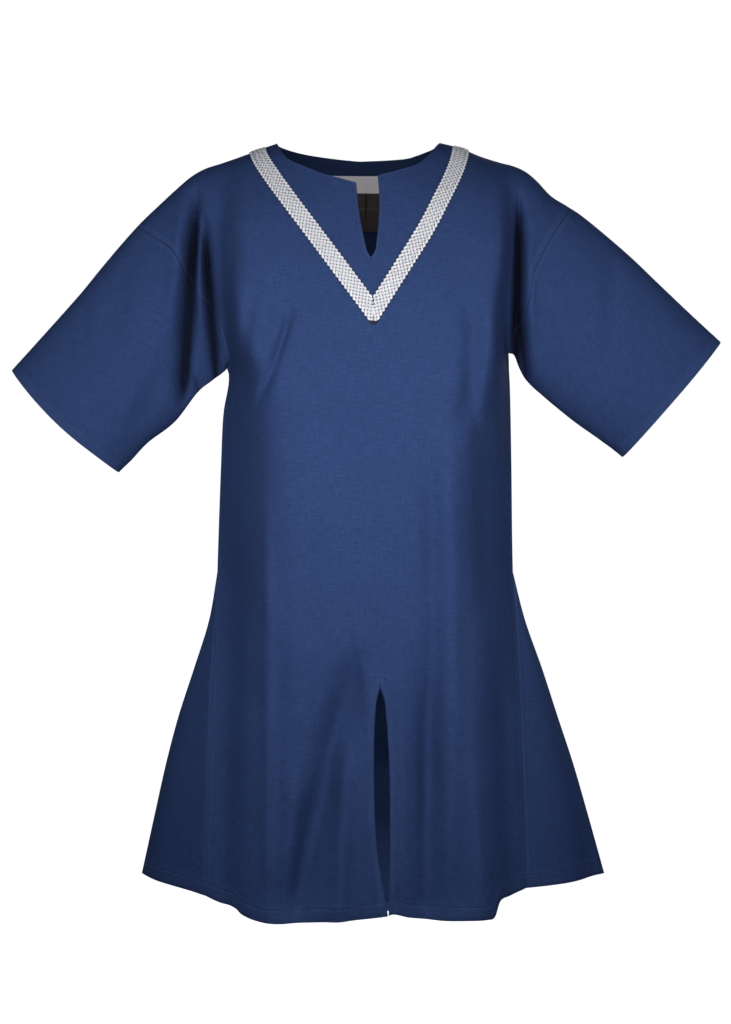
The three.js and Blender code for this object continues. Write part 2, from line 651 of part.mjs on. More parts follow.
// Label: the inside of the back, moved in, within a rectangle.
const LABEL_ROOM = { from: 1, to: 220 }; // past the label in y
const labelLift = -CLOTH - LABEL.lift;
const labelBox = cutter([{ x: LABEL.left, z: LABEL.bottom }, { x: LABEL.right, z: LABEL.bottom },
  { x: LABEL.right, z: LABEL.top }, { x: LABEL.left, z: LABEL.top }], LABEL_ROOM.from, LABEL_ROOM.to);
const label = wallOf(surfaces.back, labelLift, labelLift - LABEL.thick).intersect(labelBox);

// Where a corner is too tight for two walls side by side, the later piece is cut back by the
// earlier one with the seam's clearance, and its largest body stays.
const frontRoom = wallOf(surfaces.front, SEAM_GAP, -CLOTH - SEAM_GAP);
const backRoom = wallOf(surfaces.back, SEAM_GAP, -CLOTH - SEAM_GAP);
function sewnPiece(name) {
  let solid = wallOf(surfaces[name], 0, -CLOTH);
  if (name !== "front") solid = solid.subtract(frontRoom);
  if (name !== "front" && name !== "back") solid = solid.subtract(backRoom);
  const whole = solid.decompose().sort((a, b) => b.volume() - a.volume())[0];
  return whole.simplify(SLIVER);
}

const group = new THREE.Group();
for (const name of Object.keys(surfaces)) {
  group.add(meshOf(sewnPiece(name), name, NAVY, 0.9));
}
group.add(meshOf(braidOf("left"), "braid_left", SILVER, 0.6));
group.add(meshOf(braidOf("right"), "braid_right", SILVER, 0.6));
group.add(meshOf(label, "label", LABEL_GREY, 0.7));

export default group;
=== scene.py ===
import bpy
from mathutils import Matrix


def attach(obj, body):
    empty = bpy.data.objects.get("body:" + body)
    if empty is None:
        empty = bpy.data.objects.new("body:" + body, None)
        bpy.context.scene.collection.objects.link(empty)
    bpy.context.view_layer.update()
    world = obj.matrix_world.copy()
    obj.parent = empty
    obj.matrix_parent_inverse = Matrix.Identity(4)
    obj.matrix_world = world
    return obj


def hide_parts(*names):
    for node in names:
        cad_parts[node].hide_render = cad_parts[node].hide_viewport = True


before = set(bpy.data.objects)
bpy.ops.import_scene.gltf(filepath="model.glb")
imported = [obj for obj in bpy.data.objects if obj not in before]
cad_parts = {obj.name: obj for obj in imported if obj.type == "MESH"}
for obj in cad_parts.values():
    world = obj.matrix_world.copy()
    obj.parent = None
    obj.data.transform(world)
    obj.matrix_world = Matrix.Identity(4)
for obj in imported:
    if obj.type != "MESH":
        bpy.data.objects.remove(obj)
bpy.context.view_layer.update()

from types import SimpleNamespace as Named

import bpy
import numpy as np

# Short-sleeved tunic of dark blue cotton, filled out as if worn. Lengths are millimetres until
# a mesh is made. The front faces -Y and the wearer's right arm is at -X. The body and the arms
# are hollow tubes; the front and the back are each a depth from the plane y = 0, worked out at
# any x and z, so that neighbouring pieces share their seam points.

MM = 0.001
OUT = {"left": -1, "right": 1, "front": -1, "back": 1}  # which way along X or Y
HANDS = ("left", "right")
SIDES = ("front", "back")
CLOTH = 1.2  # wall of the cotton cloth
SEAM_GAP = 0.3  # clearance between two sewn pieces
HEM_WIDTH = 15  # hem of the skirt, edge to stitching
CUFF_HEM = 12
SLIT_HEM = 7.5
NECK_HEM = 3
SEAM_FELL = 7  # width of the felled band beside a seam
MITRE_X = 9.5  # the two braids meet at this x
MITRE_GAP = 0.2  # how far each braid's ground keeps from it; the cords keep half as far
BRAID_WIDE = 22  # with the cords that stand out past the strip

# ---- tables of the form


def table(columns, *rows):
    """A table as one array for each named column."""
    return {name: np.array(values, float) for name, values in zip(columns.split(), zip(*rows))}


# The body tube: edges of the panels by height, then depths of the flat middles and of the seam
# edges, then how far out the flat middles reach, as shares of the half width.
PANEL_EDGE = table(
    "z left right", (30, -206, 200), (-150, -194, 190), (-240, -184, 184), (-284, -176, 184),
    (-303, -175.5, 185), (-340, -182, 186), (-400, -185, 187), (-545, -190, 189),
    (-700, -194, 195), (-850, -198, 199), (-975, -201, 202),
)
DEPTH = table(
    "z front back front_seam back_seam",
    (30, 104, 104, 0, 0), (-60, 112, 114, 0, 0), (-150, 119, 123, 0, 0), (-270, 128, 127, 0, 0),
    (-400, 134, 128, 0, 0), (-545, 137, 130, 0, 0), (-606, 139, 132, 16, 17),
    (-700, 142, 134, 44, 46), (-850, 149, 140, 70, 73), (-975, 154, 146, 85, 88),
)
CORNER = table(
    "z left right", (30, 0.78, 0.84), (-60, 0.8, 0.88), (-150, 0.84, 0.9), (-215, 0.86, 0.87),
    (-270, 0.83, 0.85), (-310, 0.74, 0.8), (-350, 0.66, 0.73), (-450, 0.62, 0.67),
    (-620, 0.61, 0.7), (-800, 0.61, 0.72), (-975, 0.6, 0.74),
)

# The folded outer edge of each gore.
GORE_TIP = table(
    "z left right y", (-545, -190, 189, 0), (-606, -200.5, 204.5, 0), (-668, -220, 226.5, 4),
    (-730, -240.5, 247, 11), (-791, -257, 267.5, 18), (-852, -271, 285.5, 24),
    (-935, -289.5, 309, 30),
)
GORE_BELL = 1.25  # power of a gore's section: 1 for a sharp fold at its tip
GORE_TOP = -545
GORE_HEM = -935

# Outlines over the shoulders and arms and under each arm, and the ends of the sleeves.
TOP_OUTLINE = table(
    "x z", (-453, -286), (-416.7, -246), (-365.4, -188.5), (-339.7, -157), (-314, -126.5),
    (-288.4, -98), (-262.8, -73.5), (-237.2, -50), (-222, -37.5), (-205, -28), (-186, -21.9),
    (-160, -13), (-114.7, 3.4), (-80, 12), (-40, 14), (20, 14), (60, 12), (95.5, 4.6),
    (121.8, -2.2), (147.4, -12.7), (173, -20.6), (190, -25), (205, -32), (219, -43.5),
    (237, -62.5), (257.7, -75.7), (275.6, -87.4), (301.3, -108), (339.7, -141.2), (378.2, -178),
    (416.7, -214.6), (455, -250),
)
UNDER_OUTLINE = {
    "left": table("x z", (0, -80), (-100, -185), (-177.6, -284), (-196, -299), (-214.7, -314),
                  (-244.2, -352), (-280, -380), (-300.6, -402), (-316, -417), (-460, -574)),
    "right": table("x z", (0, -90), (100, -185), (183.5, -264), (190.4, -267), (196.8, -283),
                   (204.5, -297), (218.6, -311.6), (264.7, -350), (300.6, -375.7), (329, -397.5),
                   (460, -518)),
}
ARM_DEPTH = Named(shoulder=60, cuff=46)
ARMS = {
    "left": Named(neck_x=-114.7, armpit=(-177.6, -284), top_x=-453, under_x=-316, bow=5),
    "right": Named(neck_x=95.5, armpit=(183.5, -264), top_x=455, under_x=329, bow=0.5),
}
ARMPIT_ROW = (ARMS["left"].armpit[1] + ARMS["right"].armpit[1]) / 2
SLEEVE_SEAM = {
    "left": table(
        "up x z", (0, -177.6, -284), (0.2, -184, -246), (0.4, -196, -213),
        (0.6, -219, -186), (0.8, -242, -143), (1, -293, -109),
    ),
    "right": table(
        "up x z", (0, 183.5, -264), (0.2, 197, -236), (0.4, 206, -200),
        (0.6, 213, -165), (0.8, 232, -126), (1, 262.5, -79),
    ),
}

# Neck edges from the neck point to the middle, n running 0 to 1.
NECK = {
    "front": {
        "left": table("n x z", (0, -114.7, 3.4), (0.2, -99.5, -22), (0.4, -77.5, -34),
                      (0.6, -53, -44.5), (0.8, -29, -52), (1, -13, -56.5)),
        "right": table("n x z", (0, 95.5, 4.6), (0.2, 79, -18.5), (0.4, 63.5, -31.5),
                       (0.6, 36, -41), (0.8, 25, -44), (1, 15.5, -47)),
    },
    "back": {
        "left": table("n x z", (0, -114.7, 3.4), (0.2, -91, -1), (0.4, -68, -4.5),
                      (0.6, -42, -7.5), (0.8, -22, -9.2), (1, -8.5, -10)),
        "right": table("n x z", (0, 95.5, 4.6), (0.2, 87, 1), (0.4, 69, -4),
                       (0.6, 53, -7.6), (0.8, 25, -9.3), (1, -8.5, -10)),
    },
}
NECK_SHARE = 6 / 11  # share of a half panel's top row that the shoulder takes

# Centre line of the front with the edges of its neck slit and hem slit.
NECK_SLIT_END = -153.5
HEM_SLIT_END = -676.5
CENTRE = table(
    "z left right",
    (-44, -13, 15.5), (-74, -10.5, 17.5), (-104, -7, 17), (-134, -1, 14), (-146, 2, 12),
    (-153.5, 6.8, 6.8), (-233, 9, 9), (-450, 13.5, 13.5), (-676.5, 17.8, 17.8),
    (-704, 12.5, 24.5), (-780, 10, 29.5), (-868, 12.5, 30.5), (-922, 20, 29.8),
    (-962, 27.4, 28.4),
)

HEM = {
    "front": table(
        "x z", (-201, -946.5), (-182, -952.5), (-168, -954.5), (-160, -957.5), (-154, -962.5),
        (-140, -967.5), (-115, -971), (-90, -970), (-60, -968), (-20, -966), (26, -961),
        (34, -958.5), (54, -962.5), (80, -965.5), (110, -966.5), (150, -966), (159, -964),
        (166, -947), (180, -943), (202, -937)),
    "back": table("x z", (-201, -946.5), (-150, -985), (0, -1004), (150, -983), (202, -937)),
}
HEM_LEVEL = -960

def folds(*rows):
    """A table of folds. One with no power is round, with a power of 2."""
    rows = [row if len(row) == 8 else (*row, 2) for row in rows]
    return table("top bottom x0 x1 x2 wide rise power", *rows)


# Folds: troughs have a negative rise. x follows the fold at its top, middle and bottom.
FOLDS = {
    "front": folds(
        (-40, -350, -213, -224, -235, 6.2, -88, 1.1),
        (-44, -270, -226, -238, -245, 10, 8),
        (-70, -260, -210, -210, -207, 7, 9),
        (-80, -350, -205, -197, -188, 5.2, -72, 1.1),
        (-170, -350, -208, -208, -206, 26, -30),
        (-290, -360, -222, -214, -226, 4, -40, 1.1),
        (-50, -330, 194, 193, 189, 4.5, -85, 1.1),
        (-100, -310, 202, 207, 210, 8, 9),
        (-190, -350, 192, 201, 212, 4, -45, 1.1),
        (-190, -370, 124, 134, 118, 14, -16),
        (-190, -420, 158, 166, 170, 9, 7),
        (-110, -260, -274, -309, -334, 17, -5),
        (-130, -300, 309, 312, 300, 15, -6),
        (-380, -1010, -124, -120, -119, 9, 6),
        (-430, -1010, -172, -174, -180, 19, -14),
        (-300, -620, 142, 146, 150, 15, -8),
        (-270, -940, 74, 81, 70, 12, -8),
        (-290, -980, 98, 107, 98, 15, 8),
        (-620, -1000, -8, -52, -98, 20, -30),
        (-700, -1010, -24, -28, -34, 13, 14),
        (-760, -1010, -84, -92, -100, 12, 7),
        (-560, -800, -20, 0, 8, 8, 5),
        (-640, -1010, 70, 76, 72, 16, -18),
        (-620, -1010, 122, 134, 150, 12, 6),
        (-620, -1010, 168, 176, 188, 15, -12),
    ),
    "back": folds(
        (-60, -310, -216, -214, -200, 10, -50),
        (-60, -310, 206, 204, 194, 10, -50),
        (-180, -700, -70, -92, -104, 20, -7),
        (-240, -1010, -128, -130, -136, 18, 5),
        (-190, -760, 62, 84, 96, 20, -7),
        (-260, -1010, 126, 132, 138, 18, 5),
        (-560, -1010, -30, -36, -44, 28, -8),
        (-600, -1010, 42, 50, 52, 26, -8),
    ),
}

# Finer creases that only the surface shows.
CREASES = {
    "front": folds(
        (-120, -205, -160, -158, -163, 7, -3),
        (-240, -345, -205, -226, -242, 6, -5),
        (-205, -300, -215, -238, -256, 8, 3),
        (-262, -300, -176, -184, -190, 4, -3),
        (-160, -262, -256, -262, -272, 9, -2),
        (-195, -262, -352, -356, -362, 11, -3.5),
        (-215, -345, -300, -310, -326, 12, 2.5),
        (-230, -372, -236, -262, -300, 13, -6),
        (-250, -400, -262, -292, -330, 12, 4),
        (-200, -300, 228, 232, 236, 10, -3),
        (-230, -330, 250, 262, 280, 12, 2.5),
        (-180, -300, 350, 346, 330, 14, -2.5),
        (-220, -340, -86, -112, -130, 10, -3),
        (-250, -400, 118, 134, 140, 9, -3),
        (-420, -700, -60, -64, -70, 14, -1.6),
        (-470, -720, -84, -88, -92, 12, 1.4),
        (-240, -660, 9.5, 14, 17, 2.6, 0.8),
        (-690, -960, -6, -4, -2, 7, 3),
        (-690, -960, 44, 46, 46, 7, 3),
        (-200, -345, -90, -108, -140, 6, -9),
        (-110, -240, -164, -169, -176, 6, -5),
        (-180, -330, -132, -150, -160, 9, -7),
        (-560, -960, 84, 88, 90, 8, -2.2),
        (-560, -960, 122, 126, 130, 8, -2),
        (-600, -1000, -104, -108, -112, 8, -2),
        (-640, -1000, -76, -84, -96, 9, 1.6),
    ),
    "back": folds(
        (-120, -260, -236, -250, -268, 12, -4),
        (-110, -260, 236, 252, 270, 12, -4),
        (-170, -420, -150, -160, -164, 12, -4),
        (-170, -420, 150, 158, 162, 12, -4),
        (-60, -420, 0, 2, 4, 3, 0.7),
        (-480, -980, -84, -92, -100, 14, 3),
        (-520, -980, 84, 96, 104, 14, 3),
        (-650, -980, 4, 6, 4, 16, 3),
    ),
}

BRAID_LINE = {
    "left": table("n x z", (0, -140.5, 6), (0.2, -134, -18), (0.4, -118.5, -45),
                  (0.6, -96, -78), (0.8, -61, -126), (1, 9.5, -222)),
    "right": table("n x z", (0, 123, 6), (0.2, 119, -18), (0.4, 110, -45),
                   (0.6, 94.5, -78), (0.8, 69.5, -126), (1, 9.5, -222)),
}
LABEL = Named(left=-51, right=24, top=-27, bottom=-97, light=21, line=41)

# Points along each stretch of a half panel, round a sleeve and over a gore.
ACROSS = {"front": 150, "back": 60}
ROWS = Named(upper=62, waist=36, gusset=20, skirt=42, sleeve=110, gore=26)

# ---- curves from the tables


def lerp(a, b, t):
    """The value a share t of the way from a to b."""
    return a + (b - a) * t


def read(rows, key, column, at):
    """A smooth value between a table's rows: cubic pieces with slopes from the rows around."""
    at = np.asarray(at, float)
    keys, values = rows[key], rows[column]
    order = np.argsort(keys)
    keys, values = keys[order], values[order]
    slopes = np.gradient(values)
    if len(keys) > 2:
        slopes[1:-1] = (values[2:] - values[:-2]) / (keys[2:] - keys[:-2])
    slopes[0] = (values[1] - values[0]) / (keys[1] - keys[0])
    slopes[-1] = (values[-1] - values[-2]) / (keys[-1] - keys[-2])
    i = np.clip(np.searchsorted(keys, at) - 1, 0, len(keys) - 2)
    span = keys[i + 1] - keys[i]
    t = np.clip((at - keys[i]) / span, 0, 1)
    ends = values[i] * (2 * t**3 - 3 * t**2 + 1) + values[i + 1] * (3 * t**2 - 2 * t**3)
    return ends + span * (slopes[i] * (t**3 - 2 * t**2 + t) + slopes[i + 1] * (t**3 - t**2))


def unit(vectors):
    """The same directions at length 1."""
    return vectors / (np.linalg.norm(vectors, axis=-1, keepdims=True) + 1e-12)


def smooth_step(low, high, x):
    """0 below low, 1 above high, and a smooth rise between them."""
    t = np.clip((x - low) / (high - low), 0, 1)
    return t * t * (3 - 2 * t)


def top_line(x):
    """Height of the outline over the shoulders and arms."""
    return read(TOP_OUTLINE, "x", "z", x)


def under_line(x):
    """Height of the outline under the arms."""
    left, right = (read(UNDER_OUTLINE[hand], "x", "z", x) for hand in HANDS)
    return np.where(np.asarray(x) < 0, left, right)


# ---- depth of the cloth

rng = np.random.default_rng(11)
WAVE_COUNT = 26
WAVES = Named(
    turn=rng.uniform(0, np.pi, WAVE_COUNT),
    length=rng.uniform(55, 190, WAVE_COUNT),
    phase=rng.uniform(0, 2 * np.pi, (2, WAVE_COUNT)),
    size=rng.uniform(0.15, 0.5, WAVE_COUNT),
)


def undulation(x, z, side):
    """Slight unevenness of hanging cloth: a sum of long sine waves in seeded directions."""
    phase = WAVES.phase[0 if side == "front" else 1]
    total = np.zeros(np.broadcast(x, z).shape)
    for turn, length, size, start in zip(WAVES.turn, WAVES.length, WAVES.size, phase):
        total += size * np.sin(2 * np.pi * (x * np.cos(turn) + z * np.sin(turn)) / length + start)
    return total


FADE_IN = 0.3  # share of its length over which a fold grows
FADE_OUT = 0.8  # share of its length from which it dies away


def folds_at(rows, x, z):
    """Rise of the folds. A fold runs along a path that bends through three points, and falls
    off across it as exp(-away ** power): round for a power of 2, a sharp crease for 1."""
    rise_sum = np.zeros(np.broadcast(x, z).shape)
    for top, bottom, a, b, c, wide, rise, power in zip(*rows.values()):
        t = np.clip((top - z) / (top - bottom), 0, 1)
        path = a * (1 - t) * (1 - 2 * t) + 4 * b * t * (1 - t) + c * t * (2 * t - 1)
        lean = (a * (4 * t - 3) + 4 * b * (1 - 2 * t) + c * (4 * t - 1)) / (top - bottom)
        away = np.abs(x - path) / np.hypot(1, lean) / wide
        fade = smooth_step(0, FADE_IN, t) * (1 - smooth_step(FADE_OUT, 1, t))
        rise_sum += rise * np.exp(-(away**power)) * fade
    return rise_sum


def fold_shade(points):
    """How deep in a sharp fold each point lies, from 0 to 1: a smooth step of the sum of the
    sharp folds there over FOLD_DARK."""
    x, y, z = points.T
    sharp = {side: {key: values[rows["power"] < 2] for key, values in rows.items()}
             for side, rows in FOLDS.items()}
    deep = np.where(y < 0, folds_at(sharp["front"], x, z), folds_at(sharp["back"], x, z))
    return smooth_step(FOLD_LIGHT, 1, -deep / FOLD_DARK)


def arm_depth(x, z):
    """Ellipse between the outlines above and under the arm."""
    above, below = top_line(x) - z, z - under_line(x)
    inside = (above > 0) & (below > 0)
    share = np.where(inside, above / np.where(inside, above + below, 1), 0)
    halves = []
    for arm in (ARMS["left"], ARMS["right"]):
        along = np.clip((x - arm.armpit[0]) / (arm.top_x - arm.armpit[0]), 0, 1)
        halves.append(lerp(ARM_DEPTH.shoulder, ARM_DEPTH.cuff, along))
    return np.where(x < 0, *halves) * 2 * np.sqrt(np.clip(share * (1 - share), 0, None))


CORNER_POWER = 5  # how sharply the flat middle turns into the sides
JOIN_POWER = 4  # how closely the body tube and the arm tube run into each other
FOLD_FADE = 20  # folds lose half their rise where the cloth is this near to y = 0
FOLD_ROOM = 0.85  # a trough goes no deeper than this share of the depth
FOLD_DARK = 60  # depth of a sharp fold that no light gets into
FOLD_LIGHT = 0.08  # share of that depth down to which a fold is fully lit
NECK_SHADE = Named(dark=0.4, top=-90, bottom=-170)  # the inside darkens between these heights
CHEST_Z = -215  # above this the body leans in towards the shoulders
LEAN_IN = {"front": (1.8, 0.58), "back": (2.1, 0.5)}  # how late the lean comes, then its curve


def body_share(x, z, side):
    """Share of the full depth: a flat middle, rounded corners and sides that slope back to the
    seams, leaning in to the shoulders above."""
    left, right = read(PANEL_EDGE, "z", "left", z), read(PANEL_EDGE, "z", "right", z)
    across = (2 * x - left - right) / (right - left)
    corner = np.where(across < 0, read(CORNER, "z", "left", z), read(CORNER, "z", "right", z))
    ramp = np.clip(1 - np.abs(across), 0, None) / (1 - corner)
    share = ramp / (1 + ramp**CORNER_POWER) ** (1 / CORNER_POWER)
    bend, power = LEAN_IN[side]
    up = np.clip((z - CHEST_Z) / (top_line(x) - CHEST_Z), 0, 1)
    return share * (1 - up**bend) ** power


def cloth(x, z, side):
    """The points of the front or back at x and z."""
    x, z = np.broadcast_arrays(np.asarray(x, float), np.asarray(z, float))
    seam = np.clip(read(DEPTH, "z", f"{side}_seam", z), 0, None)
    body = (read(DEPTH, "z", side, z) - seam) * body_share(x, z, side)
    depth = (body**JOIN_POWER + arm_depth(x, z) ** JOIN_POWER) ** (1 / JOIN_POWER)
    rise = folds_at(FOLDS[side], x, z) + folds_at(CREASES[side], x, z) + undulation(x, z, side)
    rise *= depth / (depth + FOLD_FADE)
    room = FOLD_ROOM * depth + 1e-6
    rise = np.where(rise < 0, room * np.tanh(rise / room), rise)
    return np.stack([x, OUT[side] * (seam + depth + rise), z], -1)


def cloth_normal(x, z, side, step=0.5):
    """Outward normals of the cloth, from its slopes along x and z."""
    dx = cloth(x + step, z, side) - cloth(x - step, z, side)
    dz = cloth(x, z + step, side) - cloth(x, z - step, side)
    return unit(np.cross(dx, dz) * -OUT[side])


# ---- grids of the sewn pieces


def crowded(count):
    """Steps from 0 to 1 that are close together at both ends."""
    return (1 - np.cos(np.pi * np.arange(count + 1) / count)) / 2


def run(points, axis, backwards=False):
    """Distance along the rows or columns of a grid, from its first or last point."""
    points = np.moveaxis(points, axis, 0)
    if backwards:
        points = points[::-1]
    steps = np.linalg.norm(np.diff(points, axis=0), axis=-1)
    total = np.concatenate([np.zeros((1, *steps.shape[1:])), np.cumsum(steps, axis=0)])
    if backwards:
        total = total[::-1]
    return np.moveaxis(total, 0, axis)


def seam_at(hand, up):
    """The sleeve seam, held to the top outline at its upper end."""
    rows = SLEEVE_SEAM[hand]
    x, z = read(rows, "up", "x", up), read(rows, "up", "z", up)
    return x, z + (top_line(rows["x"][-1]) - rows["z"][-1]) * up**3


BACK_STRAIGHT_Z = -400  # below this the back's middle column is at x = 0


def centre_at(side, hand, z):
    """x of the middle of a panel, or of one edge of the front's slits."""
    if side == "back":
        return lerp(NECK["back"]["left"]["x"][-1], 0, np.clip(z / BACK_STRAIGHT_Z, 0, 1))
    is_open = (z > NECK_SLIT_END) | (z < HEM_SLIT_END)
    return np.where(is_open, read(CENTRE, "z", hand, z), read(CENTRE, "z", "left", z))


SLIT_SHARE = 0.5  # share of the front's upper rows that lie below its neck slit
FAR_OFF = 99  # a distance at which no stitching shows


def upper_half(side, hand):
    """Half panel above the armpit row: a patch between the armpit row, the sleeve seam, the
    shoulder with the neck, and the centre line."""
    neck, arm = NECK[side][hand], ARMS[hand]
    v, t = crowded(ROWS.upper)[:, None], np.linspace(0, 1, ACROSS[side] + 1)[None, :]
    reach = 1 - np.cos(t * np.pi / 2)
    neck_end = (neck["x"][-1], neck["z"][-1])
    if side == "front":
        below = lerp(ARMPIT_ROW, NECK_SLIT_END, v / SLIT_SHARE)
        beside = lerp(NECK_SLIT_END, neck_end[1], (v - SLIT_SHARE) / (1 - SLIT_SHARE))
        centre_z = np.where(v < SLIT_SHARE, below, beside)
    else:
        centre_z = lerp(ARMPIT_ROW, neck_end[1], v)
    middle = (centre_at(side, hand, np.array(ARMPIT_ROW)), ARMPIT_ROW)
    centre_x = np.where(v == 1, neck_end[0], centre_at(side, hand, centre_z))
    shoulder_x = lerp(SLEEVE_SEAM[hand]["x"][-1], arm.neck_x, np.clip(t / NECK_SHARE, 0, 1))
    n = np.clip((t - NECK_SHARE) / (1 - NECK_SHARE), 0, 1)
    on_neck = t > NECK_SHARE
    top = (
        np.where(on_neck, read(neck, "n", "x", n), shoulder_x),
        np.where(on_neck, read(neck, "n", "z", n), top_line(shoulder_x)),
    )
    edge = seam_at(hand, v)
    inner = (centre_x, centre_z)
    x, z = (
        lerp(lerp(arm.armpit[k], middle[k], reach), top[k], v)
        + (1 - t) * (edge[k] - lerp(arm.armpit[k], top[k][:, :1], v))
        + t * (inner[k] - lerp(middle[k], neck_end[k], v))
        for k in (0, 1)
    )
    points = cloth(x, z, side)
    from_top = run(points, 0, backwards=True)
    from_centre = run(points, 1, backwards=True)
    from_seam = np.where(on_neck, run(points, 1), np.minimum(run(points, 1), from_top))
    stitch = np.where(on_neck, from_top - NECK_HEM, FAR_OFF)
    if side == "front":
        slit = np.hypot(from_centre, np.clip(NECK_SLIT_END - points[..., 2], 0, None))
        stitch = np.minimum(stitch, slit - NECK_HEM)
    uv = np.stack([OUT[hand] * from_centre, ARMPIT_ROW + run(points, 0)], -1)
    return Named(points=points, seam=from_seam, stitch=stitch, uv=uv, turned=hand == "right")


def lower_half(side, hand, upper):
    """Half panel below the armpit row: level rows that close in on the hem's curve."""
    armpit_row = upper.points[0]
    t = np.linspace(0, 1, ACROSS[side] + 1)
    reach = 1 - np.cos(t * np.pi / 2)
    level = np.array(float(HEM_LEVEL))
    hem_x = lerp(read(PANEL_EDGE, "z", hand, level), centre_at(side, hand, level), reach)
    levels = [armpit_row[:, 2], np.full_like(t, GORE_TOP), np.full_like(t, HEM_SLIT_END),
              read(HEM[side], "x", "z", hem_x)]
    blocks = [armpit_row[None]]
    for start, end, count in zip(levels, levels[1:], (ROWS.waist, ROWS.gusset, ROWS.skirt)):
        down = np.linspace(0, 1, count + 1)[1:, None]
        z = lerp(start, end, down)
        x = lerp(read(PANEL_EDGE, "z", hand, z), centre_at(side, hand, z), reach)
        blocks.append(cloth(x, z, side))
    points = np.concatenate(blocks)
    from_centre = run(points, 1, backwards=True)
    stitch = run(points, 0, backwards=True) - HEM_WIDTH
    if side == "front":
        slit = np.hypot(from_centre, np.clip(points[..., 2] - HEM_SLIT_END, 0, None))
        stitch = np.minimum(stitch, slit - SLIT_HEM)
    uv = np.stack([OUT[hand] * from_centre, ARMPIT_ROW - run(points, 0)], -1)
    return Named(points=points, seam=run(points, 1), stitch=stitch, uv=uv, turned=hand != "right")


def sleeve_grid(hand):
    """A sleeve from its seam to the cuff, round from the armpit over the front, the top and the
    back. Each point lies a share of the way from the top outline to the one under the arm."""
    arm = ARMS[hand]
    around = crowded(ROWS.upper)
    up = np.concatenate([around, around[-2::-1]])[None, :]
    is_front = np.arange(up.size)[None, :] <= ROWS.upper
    out = np.linspace(0, 1, ROWS.sleeve + 1)[:, None]
    seam_x, seam_z = seam_at(hand, up)
    tall = top_line(seam_x) - under_line(seam_x)
    seam_share = np.clip((top_line(seam_x) - seam_z) / tall, 0, 1)
    bow = arm.bow * np.sign(arm.top_x) * np.sin(np.pi * up)
    x = lerp(seam_x, lerp(arm.under_x, arm.top_x, up) + bow, out)
    z = np.where(out == 0, seam_z, lerp(top_line(x), under_line(x), lerp(seam_share, 1 - up, out)))
    points = np.where(is_front[..., None], cloth(x, z, "front"), cloth(x, z, "back"))
    across = run(points, 1)
    from_top = np.abs(across - across[:, ROWS.upper, None])
    stitch = run(points, 0, backwards=True) - CUFF_HEM
    uv = np.stack([from_top, run(points, 0)], -1)
    return Named(points=points, seam=run(points, 0), stitch=stitch, uv=uv, turned=hand == "right")


# Soft waves over a gore: sizes as shares of its width, then radians from the tip to a seam and
# from the top to the hem.
GORE_WAVE = Named(aside=0.07, through=0.1, turns=5, slant=2.2, start={"left": 0.6, "right": 2.1},
                  through_turns=3, through_slant=1.3)


def gore_grid(hand, front, back):
    """A gore let in between the two panel edges, folded outwards to its tip: from one seam to
    the other it reaches out as 1 - turn ** GORE_BELL."""
    turn = 2 * crowded(2 * ROWS.gore)[None, :] - 1
    hem_z = front[-1, 2]
    down = (GORE_TOP - front[:, 2]) / (GORE_TOP - hem_z)
    tip_z = lerp(GORE_TOP, GORE_HEM, down)
    tip = np.stack([read(GORE_TIP, "z", hand, tip_z), read(GORE_TIP, "z", "y", tip_z), tip_z], -1)
    reach = (1 - np.abs(turn) ** GORE_BELL) * (down[:, None] > 0)
    seam = np.where((turn < 0)[..., None], front[:, None], back[:, None])
    points = np.stack([
        lerp(seam[..., 0], tip[:, None, 0], reach),
        lerp(tip[:, None, 1], seam[..., 1], np.abs(turn)),
        lerp(seam[..., 2], tip[:, None, 2], reach),
    ], -1)
    room = np.abs(tip[:, None, 0] - front[:, None, 0]) * reach * (1 - reach) * 4
    down = down[:, None]
    wave = np.sin(turn * GORE_WAVE.turns + GORE_WAVE.slant * down + GORE_WAVE.start[hand])
    points[..., 0] += GORE_WAVE.aside * room * wave * np.sign(tip[0, 0])
    wave = np.sin(turn * GORE_WAVE.through_turns + GORE_WAVE.through_slant * down)
    points[..., 1] += GORE_WAVE.through * room * wave
    stitch = run(points, 0, backwards=True) - HEM_WIDTH
    from_seam = np.minimum(run(points, 1), run(points, 1, backwards=True))
    uv = np.stack([from_seam * np.sign(turn), points[..., 2]], -1)
    return Named(points=points, seam=from_seam, stitch=stitch, uv=uv, turned=hand == "right")


# ---- from grids to thin walls


KEYS_PER_MM = 997


def point_keys(points):
    """Whole numbers that are equal for points within about a micron."""
    return np.round(points * KEYS_PER_MM).astype(np.int64)


def welded(grids):
    """One surface from grids whose equal points are shared; triangles where a quad collapses."""
    points, seam, stitch, uv, quads, start = [], [], [], [], [], 0
    for grid in grids:
        rows, columns = grid.points.shape[:2]
        index = start + np.arange(rows * columns).reshape(rows, columns)
        quad = np.stack([index[:-1, :-1], index[:-1, 1:], index[1:, 1:], index[1:, :-1]], -1)
        quad = quad.reshape(-1, 4)
        quads.append(quad[:, ::-1] if grid.turned else quad)
        points.append(grid.points.reshape(-1, 3))
        seam.append(grid.seam.ravel())
        stitch.append(grid.stitch.ravel())
        uv.append(grid.uv.reshape(-1, 2))
        start += rows * columns
    points = np.concatenate(points)
    _, first, shared = np.unique(point_keys(points), axis=0, return_index=True, return_inverse=True)
    quads = shared.reshape(-1)[np.concatenate(quads)]
    surface = Named(points=points[first], seam=np.concatenate(seam)[first],
                    stitch=np.concatenate(stitch)[first], uv=np.concatenate(uv)[first])
    following = np.roll(quads, -1, axis=1)
    doubled = quads == following
    whole = ~doubled.any(axis=1)
    single = doubled.sum(axis=1) == 1
    surface.quads = quads[whole]
    surface.tris = quads[single][~doubled[single]].reshape(-1, 3)
    return surface


